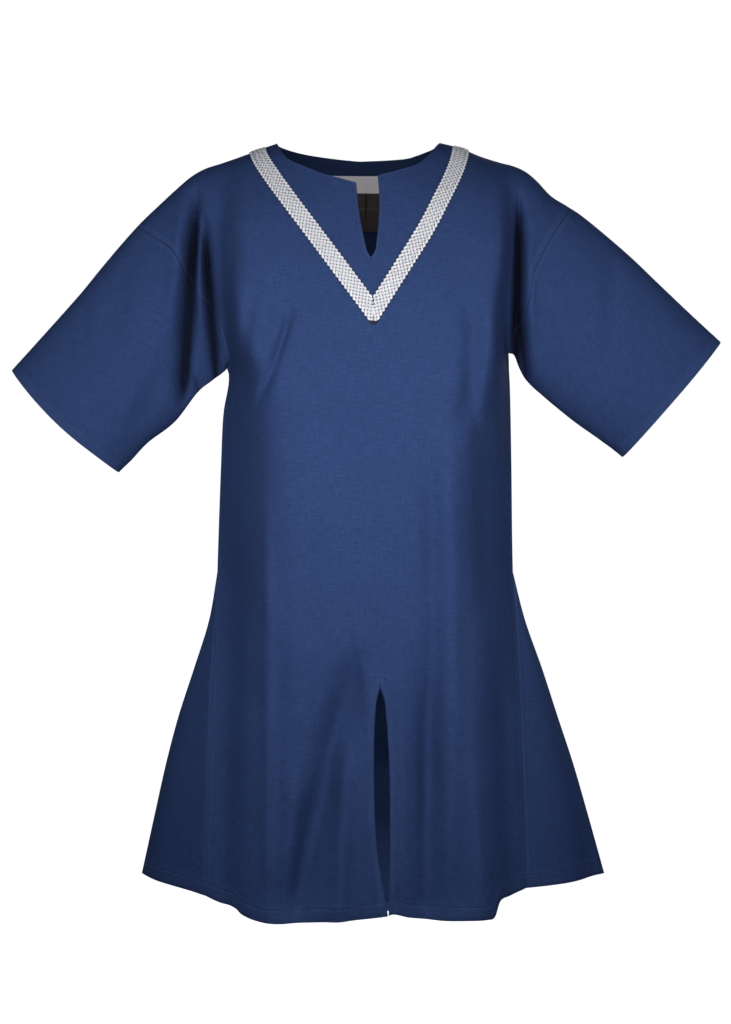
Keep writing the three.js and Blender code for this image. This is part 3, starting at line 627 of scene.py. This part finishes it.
def measure(surface):
    """Adds normals, the open edges, and at each point on such an edge the way into the cloth."""
    points = surface.points
    surface.normals = np.zeros_like(points)
    surface.inward = np.zeros_like(points)
    edges = []
    for faces in (surface.quads, surface.tris):
        corner = points[faces]
        normal = np.cross(corner[:, 2] - corner[:, 0], corner[:, -1] - corner[:, 1])
        if faces.shape[1] == 3:
            normal = np.cross(corner[:, 1] - corner[:, 0], corner[:, 2] - corner[:, 0])
        middle = corner.mean(axis=1)
        for k in range(faces.shape[1]):
            np.add.at(surface.normals, faces[:, k], normal)
            np.add.at(surface.inward, faces[:, k], middle - corner[:, k])
        edges.append(np.stack([faces, np.roll(faces, -1, axis=1)], -1).reshape(-1, 2))
    surface.normals = unit(surface.normals)
    surface.inward = unit(surface.inward)
    edges = np.concatenate(edges)
    count = len(points)
    forward = edges[:, 0] * count + edges[:, 1]
    backward = edges[:, 1] * count + edges[:, 0]
    surface.open_edges = edges[~np.isin(forward, backward)]
    surface.sewn = np.zeros(count, bool)
    return surface


def sew(surfaces):
    """Where pieces meet, gives their points one shared normal and draws each back a little."""
    owners, rims = [], []
    for k, surface in enumerate(surfaces):
        rim = np.unique(surface.open_edges)
        owners.append(np.full(len(rim), k))
        rims.append(rim)
    owner, rim = np.concatenate(owners), np.concatenate(rims)
    gather = {name: np.concatenate([getattr(s, name)[r] for s, r in zip(surfaces, rims)])
              for name in ("points", "normals", "inward")}
    key = point_keys(gather["points"])
    _, group, size = np.unique(key, axis=0, return_inverse=True, return_counts=True)
    group = group.reshape(-1)
    normal, middle = np.zeros((2, len(size), 3))
    np.add.at(normal, group, gather["normals"])
    np.add.at(middle, group, gather["inward"])
    normal = unit(normal)[group]
    away = gather["inward"] - (middle / size[:, None])[group]
    away = unit(away - (away * normal).sum(axis=1, keepdims=True) * normal)
    meets = size[group] > 1
    for k, surface in enumerate(surfaces):
        mine = (owner == k) & meets
        surface.points[rim[mine]] += away[mine] * SEAM_GAP / 2
        surface.normals[rim[mine]] = normal[mine]
        surface.sewn[rim[mine]] = True


def new_mesh(name, points, faces, uv, attributes, material):
    """A smooth mesh object, in metres, from lists of quads and triangles."""
    mesh = bpy.data.meshes.new(name)
    faces = [f for f in faces if len(f)]
    corners = np.concatenate([f.ravel() for f in faces]).astype(np.int32)
    sizes = np.concatenate([np.full(len(f), f.shape[1]) for f in faces])
    mesh.vertices.add(len(points))
    mesh.vertices.foreach_set("co", (points * MM).astype(np.float32).ravel())
    mesh.loops.add(len(corners))
    mesh.loops.foreach_set("vertex_index", corners)
    mesh.polygons.add(len(sizes))
    starts = np.concatenate([[0], np.cumsum(sizes)[:-1]]).astype(np.int32)
    mesh.polygons.foreach_set("loop_start", starts)
    mesh.update(calc_edges=True)
    mesh.validate()
    mesh.shade_smooth()
    layer = mesh.uv_layers.new(name="UVMap")
    layer.data.foreach_set("uv", (uv[corners] * MM).astype(np.float32).ravel())
    for key, values in attributes.items():
        attribute = mesh.attributes.new(key, "FLOAT", "POINT")
        attribute.data.foreach_set("value", values.astype(np.float32))
    piece = bpy.data.objects.new(name, mesh)
    bpy.context.scene.collection.objects.link(piece)
    mesh.materials.append(material)
    return piece


SEWN_SWELL = 0.14  # how far a wall's edge bulges into its seam
FREE_SWELL = 0.45  # how far a free edge bulges, as a share of the wall


def wall(name, surface, material, thick=CLOTH):
    """A closed wall: the surface, its copy further in, and a rounded rim along open edges."""
    count = len(surface.points)
    rim = np.unique(surface.open_edges)
    swell = np.where(surface.sewn[rim], SEWN_SWELL, FREE_SWELL * thick)[:, None]
    middle = surface.points[rim] - surface.normals[rim] * thick / 2 - surface.inward[rim] * swell
    inner = surface.points - surface.normals * thick
    of_rim = np.full(count, -1)
    of_rim[rim] = 2 * count + np.arange(len(rim))
    a, b = surface.open_edges.T
    upper = np.stack([b, a, of_rim[a], of_rim[b]], -1)
    lower = np.stack([of_rim[b], of_rim[a], a + count, b + count], -1)
    faces = [surface.quads, surface.quads[:, ::-1] + count, upper, lower,
             surface.tris, surface.tris[:, ::-1] + count]

    def spread(values):
        """Values for the surface, its copy and the rim."""
        return np.concatenate([values, values, values[rim]])

    shade = fold_shade(surface.points)
    near_neck = smooth_step(NECK_SHADE.bottom, NECK_SHADE.top, surface.points[:, 2])
    inside = np.maximum(shade, NECK_SHADE.dark * near_neck)
    attributes = {"seam": spread(surface.seam), "stitch": spread(surface.stitch),
                  "shade": np.concatenate([shade, inside, shade[rim]])}
    points = np.concatenate([surface.points, inner, middle])
    return new_mesh(name, points, faces, spread(surface.uv), attributes, material)


# ---- threads and braid


def resample(path, pitch):
    """Places along a path of rows of numbers, pitch apart by its first three columns."""
    length = np.concatenate([[0], np.cumsum(np.linalg.norm(np.diff(path[:, :3], axis=0), axis=1))])
    count = max(2, int(length[-1] / pitch))
    at = np.linspace(0, length[-1], count)
    return np.stack([np.interp(at, length, column) for column in path.T], -1)


def tube_faces(rings, sides):
    """Quads between rings of points that follow each other, and triangles that close the ends
    with the two points that come after them."""
    ring = np.arange(rings * sides).reshape(rings, sides)
    after = np.roll(ring, -1, axis=1)
    quads = np.stack([ring[:-1], after[:-1], after[1:], ring[1:]], -1).reshape(-1, 4)
    first = np.stack([np.full(sides, ring.size), after[0], ring[0]], -1)
    last = np.stack([np.full(sides, ring.size + 1), ring[-1], after[-1]], -1)
    return quads, np.concatenate([first, last])


def stitch_run(path, pitch=3.2, long=2.5, wide=0.62, high=0.42, lift=0.12):
    """Stitches along a path of points and normals: each is a flat bead, an ellipse of three
    half sizes, with its long axis along the path."""
    rows = resample(path, pitch)
    places, normal = rows[:, :3], rows[:, 3:]
    along = unit(np.gradient(places, axis=0))
    normal = unit(normal - (normal * along).sum(axis=1, keepdims=True) * along)
    side = np.cross(along, normal)
    rings, sides = 5, 6
    polar = np.linspace(0, np.pi, rings + 2)[1:-1]
    turn = np.linspace(0, 2 * np.pi, sides, endpoint=False)
    body = np.stack(np.broadcast_arrays(
        np.cos(polar)[:, None] * long / 2,
        np.sin(polar)[:, None] * np.cos(turn) * wide / 2,
        np.sin(polar)[:, None] * np.sin(turn) * high / 2), -1).reshape(-1, 3)
    body = np.concatenate([body, [[long / 2, 0, 0], [-long / 2, 0, 0]]])
    axes = np.stack([along, side, normal], 1)
    points = places[:, None] + normal[:, None] * lift + np.einsum("bk,nkj->nbj", body, axes)
    quads, tris = tube_faces(rings, sides)
    shift = (np.arange(len(places)) * len(body))[:, None, None]
    return points.reshape(-1, 3), (quads + shift).reshape(-1, 4), (tris + shift).reshape(-1, 3)


def joined(name, parts, material):
    """One piece from many: lists of points, quads and triangles put end to end, and for cords
    how near each point is to the cord's rim."""
    points, quads, tris, rims, start = [], [], [], [], 0
    for p, q, t, *rim in parts:
        points.append(p)
        quads.append(q + start)
        tris.append(t + start)
        rims += rim
        start += len(p)
    points = np.concatenate(points)
    faces = [np.concatenate(quads), np.concatenate(tris)]
    attributes = {"rim": np.concatenate(rims)} if rims else {}
    return new_mesh(name, points, faces, points[:, [0, 2]], attributes, material)


def grid_normals(points):
    """Normals of a grid from its steps along both ways."""
    return unit(np.cross(np.gradient(points, axis=1), np.gradient(points, axis=0)))


def level_line(grid, distance, at, outward):
    """The line over a grid's columns on which a distance, falling with the rows, has one value."""
    normals = grid_normals(grid.points)
    normals *= np.sign((normals * outward).sum())
    rows = np.clip((distance > at).sum(axis=0), 1, len(distance) - 1)
    columns = np.arange(distance.shape[1])
    before, after = distance[rows - 1, columns], distance[rows, columns]
    share = ((before - at) / np.where(before == after, 1, before - after))[:, None]
    point = lerp(grid.points[rows - 1, columns], grid.points[rows, columns], share)
    normal = lerp(normals[rows - 1, columns], normals[rows, columns], share)
    return np.concatenate([point, normal], 1)


def turned_grid(grid):
    """The same grid with rows and columns exchanged."""
    return Named(points=grid.points.transpose(1, 0, 2), seam=grid.seam.T, stitch=grid.stitch.T)


def strand_tube(path, normals, half_wide, half_high, sides=6):
    """A flat cord: an ellipse carried along a path, wide across the braid and thin through it,
    its ends closed by points."""
    side = unit(np.cross(unit(np.gradient(path, axis=0)), normals))
    turn = np.linspace(0, 2 * np.pi, sides, endpoint=False)
    rings = (path[:, None] + half_wide * np.cos(turn)[None, :, None] * side[:, None]
             + half_high * np.sin(turn)[None, :, None] * normals[:, None])
    points = np.concatenate([rings.reshape(-1, 3), path[:1], path[-1:]])
    rim = np.concatenate([np.tile(np.abs(np.cos(turn)), len(path)), [1, 1]])
    return points, *tube_faces(len(path), sides), rim


CELL = 3.0  # distance along the braid between two rows of crossings
STRANDS = 7
CORD_WIDE = 3.5
CORD_HIGH = 1.4
BRAID_LIFT = 0.9
# A near-black sheet of painted shade under the cords, seen in the gaps between them.
BRAID_GROUND = Named(half=11.2, lift=0.25, thick=0.2, pitch=1.5, start=-12)  # under the cords
LINE_POINTS = 400  # along a braid's centre line
# The line starts at the tip of the V. A straight run past the tip, with the slope of the line's
# first few points, comes before it.
LEAD = Named(longest=20, shortest=0.5, steps=40, over=8)
SHOULDER_GAP = 0.8  # the braid ends this far below the top outline
CORD_STEP = 0.5
CORD_INSET = 0.8  # share of a cord's width by which its line keeps inside the braid
CORD_RISE = 0.775  # share of half a cord's height by which it goes over and under
TURN_ROUND = 0.3  # how round the zigzag's turns are, in crossings
# Less than this far along from the tip, cords are cut at the mitre and at a circle round a point
# above the tip.
CUT = Named(along=30, circle_z=-199, reach=34)
SLOPE_MOST = 1.6  # greatest stretch of the cloth that the plait follows
PLAIT_GIVE = 0.3  # 1 for a plait that keeps its width on a slope, 0 for one that spreads with it


def strand_route(t, strand):
    """Across position and height of one cord of a flat plait at distance t along it: a zigzag
    with rounded turns that goes over and under its neighbours in turn."""
    phase = (t / CELL - 2 * strand) % (2 * STRANDS)
    falling = phase < STRANDS
    since = np.where(falling, phase, phase - STRANDS)
    near = np.minimum(since, STRANDS - since)
    straight = since - STRANDS / 2
    soft = np.sqrt(near**2 + TURN_ROUND**2) - TURN_ROUND * np.exp(-near)
    across = np.sign(straight) * (STRANDS / 2 - soft)
    room = BRAID_WIDE - CORD_WIDE * CORD_INSET
    across = np.where(falling, -across, across) * 2 / STRANDS * room / 2
    height = np.where(since < 1, np.sin(np.pi / 2 * since), np.cos(np.pi * (since - 1)))
    height = np.where(since > STRANDS - 1, -np.sin(np.pi / 2 * (STRANDS - since)), height)
    return across, height * CORD_RISE * CORD_HIGH / 2


def braid(hand, material, under_material):
    """Seven cords plaited flat, laid on the front along the braid's centre line and cut where
    the two braids meet."""
    rows = BRAID_LINE[hand]
    n = np.linspace(1, 0, LINE_POINTS)
    x, z = read(rows, "n", "x", n), read(rows, "n", "z", n)
    lead = np.linspace(LEAD.longest, LEAD.shortest, LEAD.steps)[:, None]
    first = np.array([x[0], z[0]])
    onward = unit(first - np.array([x[LEAD.over], z[LEAD.over]]))
    flat = np.concatenate([first + lead * onward, np.stack([x, z], -1)])
    flat = flat[flat[:, 1] < top_line(flat[:, 0]) - SHOULDER_GAP]
    centre = cloth(flat[:, 0], flat[:, 1], "front")
    length = np.concatenate([[0], np.cumsum(np.linalg.norm(np.diff(centre, axis=0), axis=1))])
    tip = length[LEAD.steps]
    sign = -OUT[hand]

    def place(t, across, height):
        """Points at distance t along from the tip, across from the centre line and a height
        over the cloth, with the cloth's normals there."""
        behind, at, ahead = (
            np.stack([np.interp(t + tip + step, length, flat[:, k]) for k in (0, 1)], -1)
            for step in (-1, 0, 1))
        way = unit(ahead - behind)
        aside = np.stack([way[:, 1], -way[:, 0]], -1) * sign
        probe = cloth(*(at + aside).T, "front") - cloth(*at.T, "front")
        stretch = np.clip(np.linalg.norm(probe, axis=1), 1, SLOPE_MOST) ** PLAIT_GIVE
        spot = at + aside * (across / stretch)[:, None]
        spot[:, 1] = np.minimum(spot[:, 1], top_line(spot[:, 0]) - SHOULDER_GAP)
        normal = cloth_normal(spot[:, 0], spot[:, 1], "front")
        return cloth(spot[:, 0], spot[:, 1], "front") + normal * height[:, None], normal

    end = length[-1] - tip
    parts = []
    for strand in range(STRANDS):
        t = np.arange(CORD_STEP - LEAD.longest, end, CORD_STEP)
        across, height = strand_route(t, strand)
        points, normals = place(t, across, BRAID_LIFT + height)
        keep = (points[:, 0] - MITRE_X) * sign < -MITRE_GAP / 2
        keep &= np.hypot(points[:, 0] - MITRE_X, points[:, 2] - CUT.circle_z) < CUT.reach
        keep |= t > CUT.along
        cuts = np.flatnonzero(np.diff(keep.astype(int))) + 1
        for stretch in np.split(np.arange(len(t)), cuts):
            if keep[stretch[0]] and len(stretch) > 3:
                parts.append(strand_tube(points[stretch], normals[stretch],
                                         CORD_WIDE / 2, CORD_HIGH / 2))
    piece = joined(f"braid_{hand}_cords", parts, material)
    t, across = np.meshgrid(np.arange(BRAID_GROUND.start, end, BRAID_GROUND.pitch),
                            np.linspace(-BRAID_GROUND.half, BRAID_GROUND.half, 11), indexing="ij")
    points, _ = place(t.ravel(), across.ravel(), np.full(t.size, BRAID_GROUND.lift))
    points = points.reshape(*t.shape, 3)
    is_past = (points[..., 0] - MITRE_X) * sign > -MITRE_GAP
    points[..., 0] = np.where(is_past, MITRE_X - MITRE_GAP * sign, points[..., 0])
    zero = np.zeros(t.shape)
    grid = Named(points=points, seam=zero, stitch=zero, uv=np.stack([t, across], -1),
                 turned=hand == "left")
    surface = measure(welded([grid]))
    return piece, wall(f"braid_{hand}_ground", surface, under_material, BRAID_GROUND.thick)


# ---- materials


def linear(code):
    """An sRGB hex colour as linear red, green, blue and alpha."""
    values = np.array([int(code[k:k + 2], 16) for k in (1, 3, 5)]) / 255
    values = np.where(values <= 0.04045, values / 12.92, ((values + 0.055) / 1.055) ** 2.4)
    return (*values.tolist(), 1.0)


def add(tree, kind, inputs=(), **settings):
    """A node with its settings; each input is a value or another node's output."""
    node = tree.nodes.new(kind)
    for key, value in settings.items():
        setattr(node, key, value)
    for key, value in dict(inputs).items():
        if isinstance(value, bpy.types.NodeSocket):
            tree.links.new(value, node.inputs[key])
        else:
            node.inputs[key].default_value = value
    return node


def blank(name):
    """A material with only its output, and its node tree."""
    material = bpy.data.materials.new(name)
    material.use_nodes = True
    material.node_tree.nodes.clear()
    return material, material.node_tree


def finish(tree, colour, roughness, specular=0.5, bump=None, **more):
    """Gives the material its shader. The bump is a height, its distance and its strength."""
    inputs = {"Base Color": colour, "Roughness": roughness, "Specular IOR Level": specular}
    if bump:
        values = dict(zip(("Height", "Distance", "Strength"), bump))
        inputs["Normal"] = add(tree, "ShaderNodeBump", values).outputs[0]
    inputs.update({key.replace("_", " ").title(): value for key, value in more.items()})
    shader = add(tree, "ShaderNodeBsdfPrincipled", inputs)
    add(tree, "ShaderNodeOutputMaterial", {"Surface": shader.outputs[0]})


def noise(tree, at, scale, detail, rough=0.5, **settings):
    """The value of a noise texture."""
    inputs = {"Vector": at, "Scale": scale, "Detail": detail, "Roughness": rough}
    return add(tree, "ShaderNodeTexNoise", inputs, **settings).outputs[0]


def flecks(tree, scale, detail, *colours):
    """Two colours mixed by a noise that is fixed to the object."""
    place = add(tree, "ShaderNodeTexCoord").outputs["Object"]
    return mix(tree, noise(tree, place, scale, detail), *(linear(colour) for colour in colours))


def attribute(tree, name):
    """The value of a mesh's own attribute."""
    return add(tree, "ShaderNodeAttribute", attribute_name=name).outputs["Fac"]


def maths(tree, operation, a, b=0.0, c=0.0):
    """The result of a maths node."""
    return add(tree, "ShaderNodeMath", {0: a, 1: b, 2: c}, operation=operation).outputs[0]


def mix(tree, factor, a, b):
    """The colour a turned towards b; a mix node's colour sockets are its inputs 6 and 7."""
    return add(tree, "ShaderNodeMix", {0: factor, 6: a, 7: b}, data_type="RGBA").outputs[2]


# Threads lie 0.5 mm apart in the cloth. They are drawn about 1.25 mm apart so that they show,
# two to each wave of 2.5 mm.
WEAVE_SCALE = 800 / 6.2832


def cotton_material():
    """Dyed plain-weave cotton, washed: threads of uneven thickness give short light and dark
    streaks both ways, the surface is dull, and raised seams and hem edges are a little paler.
    Painted shade darkens stitch grooves and seam ditches a little, and turns the cloth near
    black deep in sharp folds and on the inside near the neck."""
    material, tree = blank("washed_indigo_cotton")
    uv = add(tree, "ShaderNodeUVMap", uv_map="UVMap").outputs[0]

    def streaks(scale_x, scale_y, detail):
        """Noise stretched along the cloth's threads."""
        mapped = add(tree, "ShaderNodeMapping", {"Vector": uv, "Scale": (scale_x, scale_y, 1)})
        return noise(tree, mapped.outputs[0], 1.0, detail, noise_dimensions="2D", rough=0.6)

    weft = streaks(60, 700, 2)  # slubs about 17 mm long and 1.4 mm high
    warp = streaks(700, 60, 2)
    blotch = streaks(9, 7, 3)  # uneven dye, about 120 mm across
    waves = [add(tree, "ShaderNodeTexWave", {"Vector": uv, "Scale": WEAVE_SCALE, "Distortion": 1.2},
                 bands_direction=way).outputs[1] for way in ("X", "Y")]
    stitch, seam, shade = (attribute(tree, name) for name in ("stitch", "seam", "shade"))

    def band(value, low, high):
        """A smooth rise from 0 to 1."""
        return add(tree, "ShaderNodeMapRange", {"Value": value, "From Min": low, "From Max": high},
                   interpolation_type="SMOOTHSTEP").outputs[0]

    def times(a, b):
        """A product."""
        return maths(tree, "MULTIPLY", a, b)

    def rest(a):
        """What a leaves of 1."""
        return maths(tree, "SUBTRACT", 1.0, a)

    weave = times(*waves)
    from_stitch = maths(tree, "ABSOLUTE", stitch)
    groove = rest(band(from_stitch, 0.2, 1.4))
    hem = rest(band(stitch, -0.8, 0.4))
    fell = rest(band(seam, SEAM_FELL - 1, SEAM_FELL + 0.4))
    ditch = rest(band(seam, 0.0, 1.6))
    raised = maths(tree, "MAXIMUM", fell, hem)
    painted_groove_shade = maths(tree, "MAXIMUM", groove, ditch)
    grain = maths(tree, "ADD", times(weft, 0.55), times(warp, 0.45))
    base = mix(tree, blotch, linear("#2f4472"), linear("#354b7a"))
    streaked = mix(tree, band(grain, 0.36, 0.66), linear("#2b3e69"), base)
    colour = mix(tree, times(raised, 0.1), streaked, linear("#4c6290"))
    # painted shade: stitch grooves and seam ditches a little darker, then near black deep in sharp
    # folds and on the inside near the neck
    colour = mix(tree, times(painted_groove_shade, 0.15), colour, linear("#1c2a50"))
    colour = mix(tree, times(shade, 0.9), colour, linear("#05070f"))
    pucker = times(streaks(110, 110, 1), rest(band(from_stitch, 1.0, 9.0)))
    relief = times(weave, 0.10)
    for sign, layer, height in (
            ("ADD", grain, 0.30), ("SUBTRACT", groove, 0.35), ("SUBTRACT", ditch, 0.15),
            ("ADD", raised, 0.45), ("ADD", pucker, 1.2)):
        relief = maths(tree, sign, relief, times(layer, height))
    finish(tree, colour, roughness=0.88, specular=0.15, bump=(relief, 0.001, 0.8),
           sheen_weight=0.03, sheen_roughness=0.5, sheen_tint=linear("#7f93c4"))
    return material


def thread_material():
    """Polyester sewing thread, a shade lighter than the cloth, with a faint gloss."""
    material, tree = blank("navy_sewing_thread")
    finish(tree, flecks(tree, 900.0, 1.0, "#33497c", "#4c659c"), roughness=0.55, specular=0.4)
    return material


def braid_material():
    """Silver rayon and metallic cord: fine filaments along each cord, bright along its crest,
    its edges darkened towards grey as painted shade between the cords.
    """
    material, tree = blank("silver_rayon_braid_cord")
    place = add(tree, "ShaderNodeTexCoord").outputs["Object"]
    # painted shade: each cord turns dark grey towards its edges, where it meets its neighbours
    rim = {"Value": attribute(tree, "rim"), "From Min": 0.7, "From Max": 0.92}
    shade = add(tree, "ShaderNodeMapRange", rim).outputs[0]
    colour = mix(tree, shade, flecks(tree, 260.0, 1.0, "#e2e1e4", "#fafaff"), linear("#47474f"))
    finish(tree, colour, roughness=0.4, bump=(noise(tree, place, 1500.0, 2.0), 0.0004, 0.7))
    return material


def braid_gap_shade_material():
    """The inside of the braid, a near-black sheet of painted shade seen between the cords."""
    material, tree = blank("braid_gap_painted_shade")
    finish(tree, flecks(tree, 700.0, 1.0, "#131218", "#26252b"), roughness=0.8)
    return material


def label_material():
    """Woven satin ribbon: a light band above a dark brown one, with fine ribs across."""
    material, tree = blank("woven_satin_ribbon")
    uv = add(tree, "ShaderNodeUVMap", uv_map="UVMap").outputs[0]
    parts = add(tree, "ShaderNodeSeparateXYZ", {"Vector": uv})
    down = maths(tree, "MULTIPLY", parts.outputs[1], 1000.0)
    is_dark = maths(tree, "GREATER_THAN", down, LABEL.light)
    line = maths(tree, "COMPARE", down, LABEL.line, 0.5)
    rib = add(tree, "ShaderNodeTexWave", {"Vector": uv, "Scale": 190.0, "Distortion": 0.3},
              bands_direction="Y").outputs[1]
    light = mix(tree, rib, linear("#e8dfe2"), linear("#f6f0f2"))
    dark = mix(tree, rib, linear("#2a1d19"), linear("#3d2f28"))
    colour = mix(tree, is_dark, light, mix(tree, line, dark, linear("#5d5350")))
    finish(tree, colour, roughness=0.45, bump=(rib, 0.0002, 0.5))
    return material


def paper_material():
    """Matt white studio paper."""
    material, tree = blank("matt_white_paper")
    finish(tree, flecks(tree, 2.0, 2.0, "#f4f4f4", "#f8f8f8"), roughness=0.9,
           emission_color=linear("#ffffff"), emission_strength=0.97)
    return material


# ---- the tunic

cotton, thread = cotton_material(), thread_material()
cord, ground, ribbon = braid_material(), braid_gap_shade_material(), label_material()

halves = {}
for side in SIDES:
    for hand in HANDS:
        upper = upper_half(side, hand)
        halves[side, hand] = (upper, lower_half(side, hand, upper))


def panel(side):
    """A panel is its four quarters; the back's faces look the other way."""
    grids = [grid for hand in HANDS for grid in halves[side, hand]]
    return welded([Named(**{**vars(g), "turned": g.turned != (side == "back")}) for g in grids])


sleeves = {hand: sleeve_grid(hand) for hand in HANDS}
surfaces = {"front": panel("front"), "back": panel("back")}
gores = {}
for hand in HANDS:
    surfaces[f"sleeve_{hand}"] = welded([sleeves[hand]])
    edges = (halves[side, hand][1].points[ROWS.waist:, 0] for side in SIDES)
    gores[hand] = gore_grid(hand, *edges)
    surfaces[f"gore_{hand}"] = welded([gores[hand]])
for surface in surfaces.values():
    measure(surface)
sew(list(surfaces.values()))

pieces = {name: wall(name, surface, cotton) for name, surface in surfaces.items()}
for name, piece in pieces.items():
    piece.name = f"{name}_cloth"
    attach(piece, "root")
    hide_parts(name)

# Stitching: hems of the skirt, cuffs and slits, and beside the sleeve seams.
SEAM_ENDS = slice(2, -4)  # a seam's stitches stop short of the armpit and the shoulder
hem_runs, seam_runs = [], []
for (side, hand), (upper, lower) in halves.items():
    outward = np.array((0, OUT[side], 0))
    hem_runs.append(stitch_run(level_line(lower, run(lower.points, 0, True), HEM_WIDTH, outward)))
    columns = turned_grid(upper)
    seam_runs.append(stitch_run(level_line(columns, -columns.seam, -SEAM_FELL, outward)[SEAM_ENDS]))
    if side == "front":
        skirt = slice(ROWS.waist + ROWS.gusset, None)
        slit = Named(points=lower.points[skirt].transpose(1, 0, 2))
        distance = run(lower.points[skirt], 1, True).T
        hem_runs.append(stitch_run(level_line(slit, distance, SLIT_HEM, outward)))
        slit = Named(points=upper.points[ROWS.upper // 2:].transpose(1, 0, 2))
        distance = run(upper.points[ROWS.upper // 2:], 1, True).T
        hem_runs.append(stitch_run(level_line(slit, distance, NECK_HEM, outward)))
    neck_columns = slice(int(ACROSS[side] * NECK_SHARE) + 2, None)
    edge = Named(points=upper.points[:, neck_columns])
    distance = run(upper.points, 0, True)[:, neck_columns]
    hem_runs.append(stitch_run(level_line(edge, distance, NECK_HEM, outward)))
for hand, grid in sleeves.items():
    distance = run(grid.points, 0, True)
    cuff_halves = {"front": slice(None, ROWS.upper + 1), "back": slice(ROWS.upper, None)}
    for side, rows in cuff_halves.items():
        part = Named(points=grid.points[:, rows])
        outward = np.array((0, OUT[side], 0))
        hem_runs.append(stitch_run(level_line(part, distance[:, rows], CUFF_HEM, outward)))
for hand, grid in gores.items():
    outward = np.array((OUT[hand], 0, 0))
    hem_runs.append(stitch_run(level_line(grid, run(grid.points, 0, True), HEM_WIDTH, outward)))

# Bar of stitches across the top of the hem slit.
BAR = Named(left=2.5, right=28, z=-668, count=20, pitch=2.4, long=2.2)
bar_x = np.linspace(BAR.left, BAR.right, BAR.count)
bar_z = np.full(BAR.count, float(BAR.z))
bar = np.concatenate([cloth(bar_x, bar_z, "front"), cloth_normal(bar_x, bar_z, "front")], 1)
hem_runs.append(stitch_run(bar, pitch=BAR.pitch, long=BAR.long))
hem_thread = joined("hem_stitches", hem_runs, thread)
seam_thread = joined("seam_stitches", seam_runs, thread)

braid_pieces = []
for hand in HANDS:
    cords, inside = braid(hand, cord, ground)
    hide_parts(f"braid_{hand}")
    braid_pieces += [cords, inside]
for piece in braid_pieces:
    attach(piece, "root")
for piece in (hem_thread, seam_thread):
    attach(piece, "root")

# Label: a ribbon inside the back neck, its lower end curling a little off the cloth.
LABEL_GAP = 0.35
RIBBON = 0.5  # thickness
CURL = Named(rise=1.6, ripple=0.25, ripple_length=9)
label_long = LABEL.top - LABEL.bottom
across, down = np.meshgrid(np.linspace(LABEL.left, LABEL.right, 50),
                           np.linspace(0, label_long, 48), indexing="xy")
label_z = LABEL.top - down
inner = cloth(across, label_z, "back") - cloth_normal(across, label_z, "back") * (CLOTH + LABEL_GAP)
fall = down / label_long
inner[..., 1] -= CURL.rise * fall**3 + CURL.ripple * np.sin(across / CURL.ripple_length) * fall
still = np.full(across.shape, float(FAR_OFF))
label_grid = Named(points=inner, seam=still, stitch=still, uv=np.stack([across, down], -1),
                   turned=True)
label = wall("label_ribbon", measure(welded([label_grid])), ribbon, RIBBON)
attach(label, "root")
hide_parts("label")

# ---- studio

scene = bpy.context.scene
scene.view_settings.view_transform = "Standard"

CAMERA_BACK = 3.1  # metres in front of the tunic's middle plane
EYE = -0.468
FLOOR = -1.5
SWEEP = Named(front=-5.0, back=6.5, radius=0.9, top=6.0, half=6.0)


def sweep():
    """Floor and backdrop as one sheet: level, then a quarter circle, then upright."""
    bend = np.linspace(0, np.pi / 2, 24)
    curve = np.stack([SWEEP.back - SWEEP.radius * (1 - np.sin(bend)),
                      FLOOR + SWEEP.radius * (1 - np.cos(bend))], -1)
    profile = np.concatenate([[[SWEEP.front, FLOOR]], curve, [[SWEEP.back, SWEEP.top]]])
    x = np.array([-SWEEP.half, SWEEP.half])
    points = np.stack([
        np.repeat(x[None], len(profile), 0),
        np.repeat(profile[:, :1], 2, 1),
        np.repeat(profile[:, 1:], 2, 1),
    ], -1) / MM
    index = np.arange(len(profile) * 2).reshape(-1, 2)
    quads = np.stack([index[:-1, 0], index[:-1, 1], index[1:, 1], index[1:, 0]], -1)
    flat = points.reshape(-1, 3)
    return new_mesh("paper_sweep", flat, [quads], flat[:, [0, 2]], {}, paper_material())


paper = sweep()
paper.visible_diffuse = False
paper.visible_glossy = False


def soft_light(name, place, aim, wide, tall, power):
    """A rectangular area light at place, facing aim."""
    data = bpy.data.lights.new(name, "AREA")
    data.shape = "RECTANGLE"
    data.size, data.size_y = wide, tall
    data.energy = power
    light = bpy.data.objects.new(name, data)
    scene.collection.objects.link(light)
    x, y, z = np.subtract(aim, place)
    light.location = place
    light.rotation_euler = (np.arctan2(np.hypot(x, y), -z), 0, np.arctan2(y, x) - np.pi / 2)
    light.visible_camera = False


LIGHTS = (  # name, place, aim, width, height, watts
    ("key", (-0.01, -0.78, -0.33), (-0.01, 0, -0.33), 0.86, 0.26, 4.8),
    ("front_fill", (-0.3, -2.2, 0.4), (0, 0, -0.3), 1.2, 1.2, 8.5),
    ("from_above", (-0.5, -1.5, 0.9), (-0.1, 0, -0.05), 0.8, 0.8, 0.9),
    ("left_side", (-1.1, -0.5, -0.05), (-0.1, 0, -0.4), 0.3, 0.5, 0.9),
    ("right_side", (1.1, -0.5, -0.25), (0.1, 0, -0.45), 0.3, 0.5, 1.4),
    ("from_floor", (0, -0.02, -1.46), (0, 0, -0.5), 0.3, 0.2, 2.0),
    ("back_light", (0.6, 2.4, 0.6), (0, 0.1, -0.4), 1.6, 1.6, 30),
)
for row in LIGHTS:
    soft_light(*row)

world = bpy.data.worlds.new("studio")
world.use_nodes = True
sky = world.node_tree.nodes["Background"].inputs
sky["Color"].default_value = linear("#c2cff0")
sky["Strength"].default_value = 0.085
scene.world = world

camera_data = bpy.data.cameras.new("camera")
camera_data.lens = 85
camera_data.sensor_width = 36
camera = bpy.data.objects.new("camera", camera_data)
camera.location = (0, -CAMERA_BACK, EYE)
camera.rotation_euler = (np.pi / 2, 0, 0)
scene.collection.objects.link(camera)
scene.camera = camera
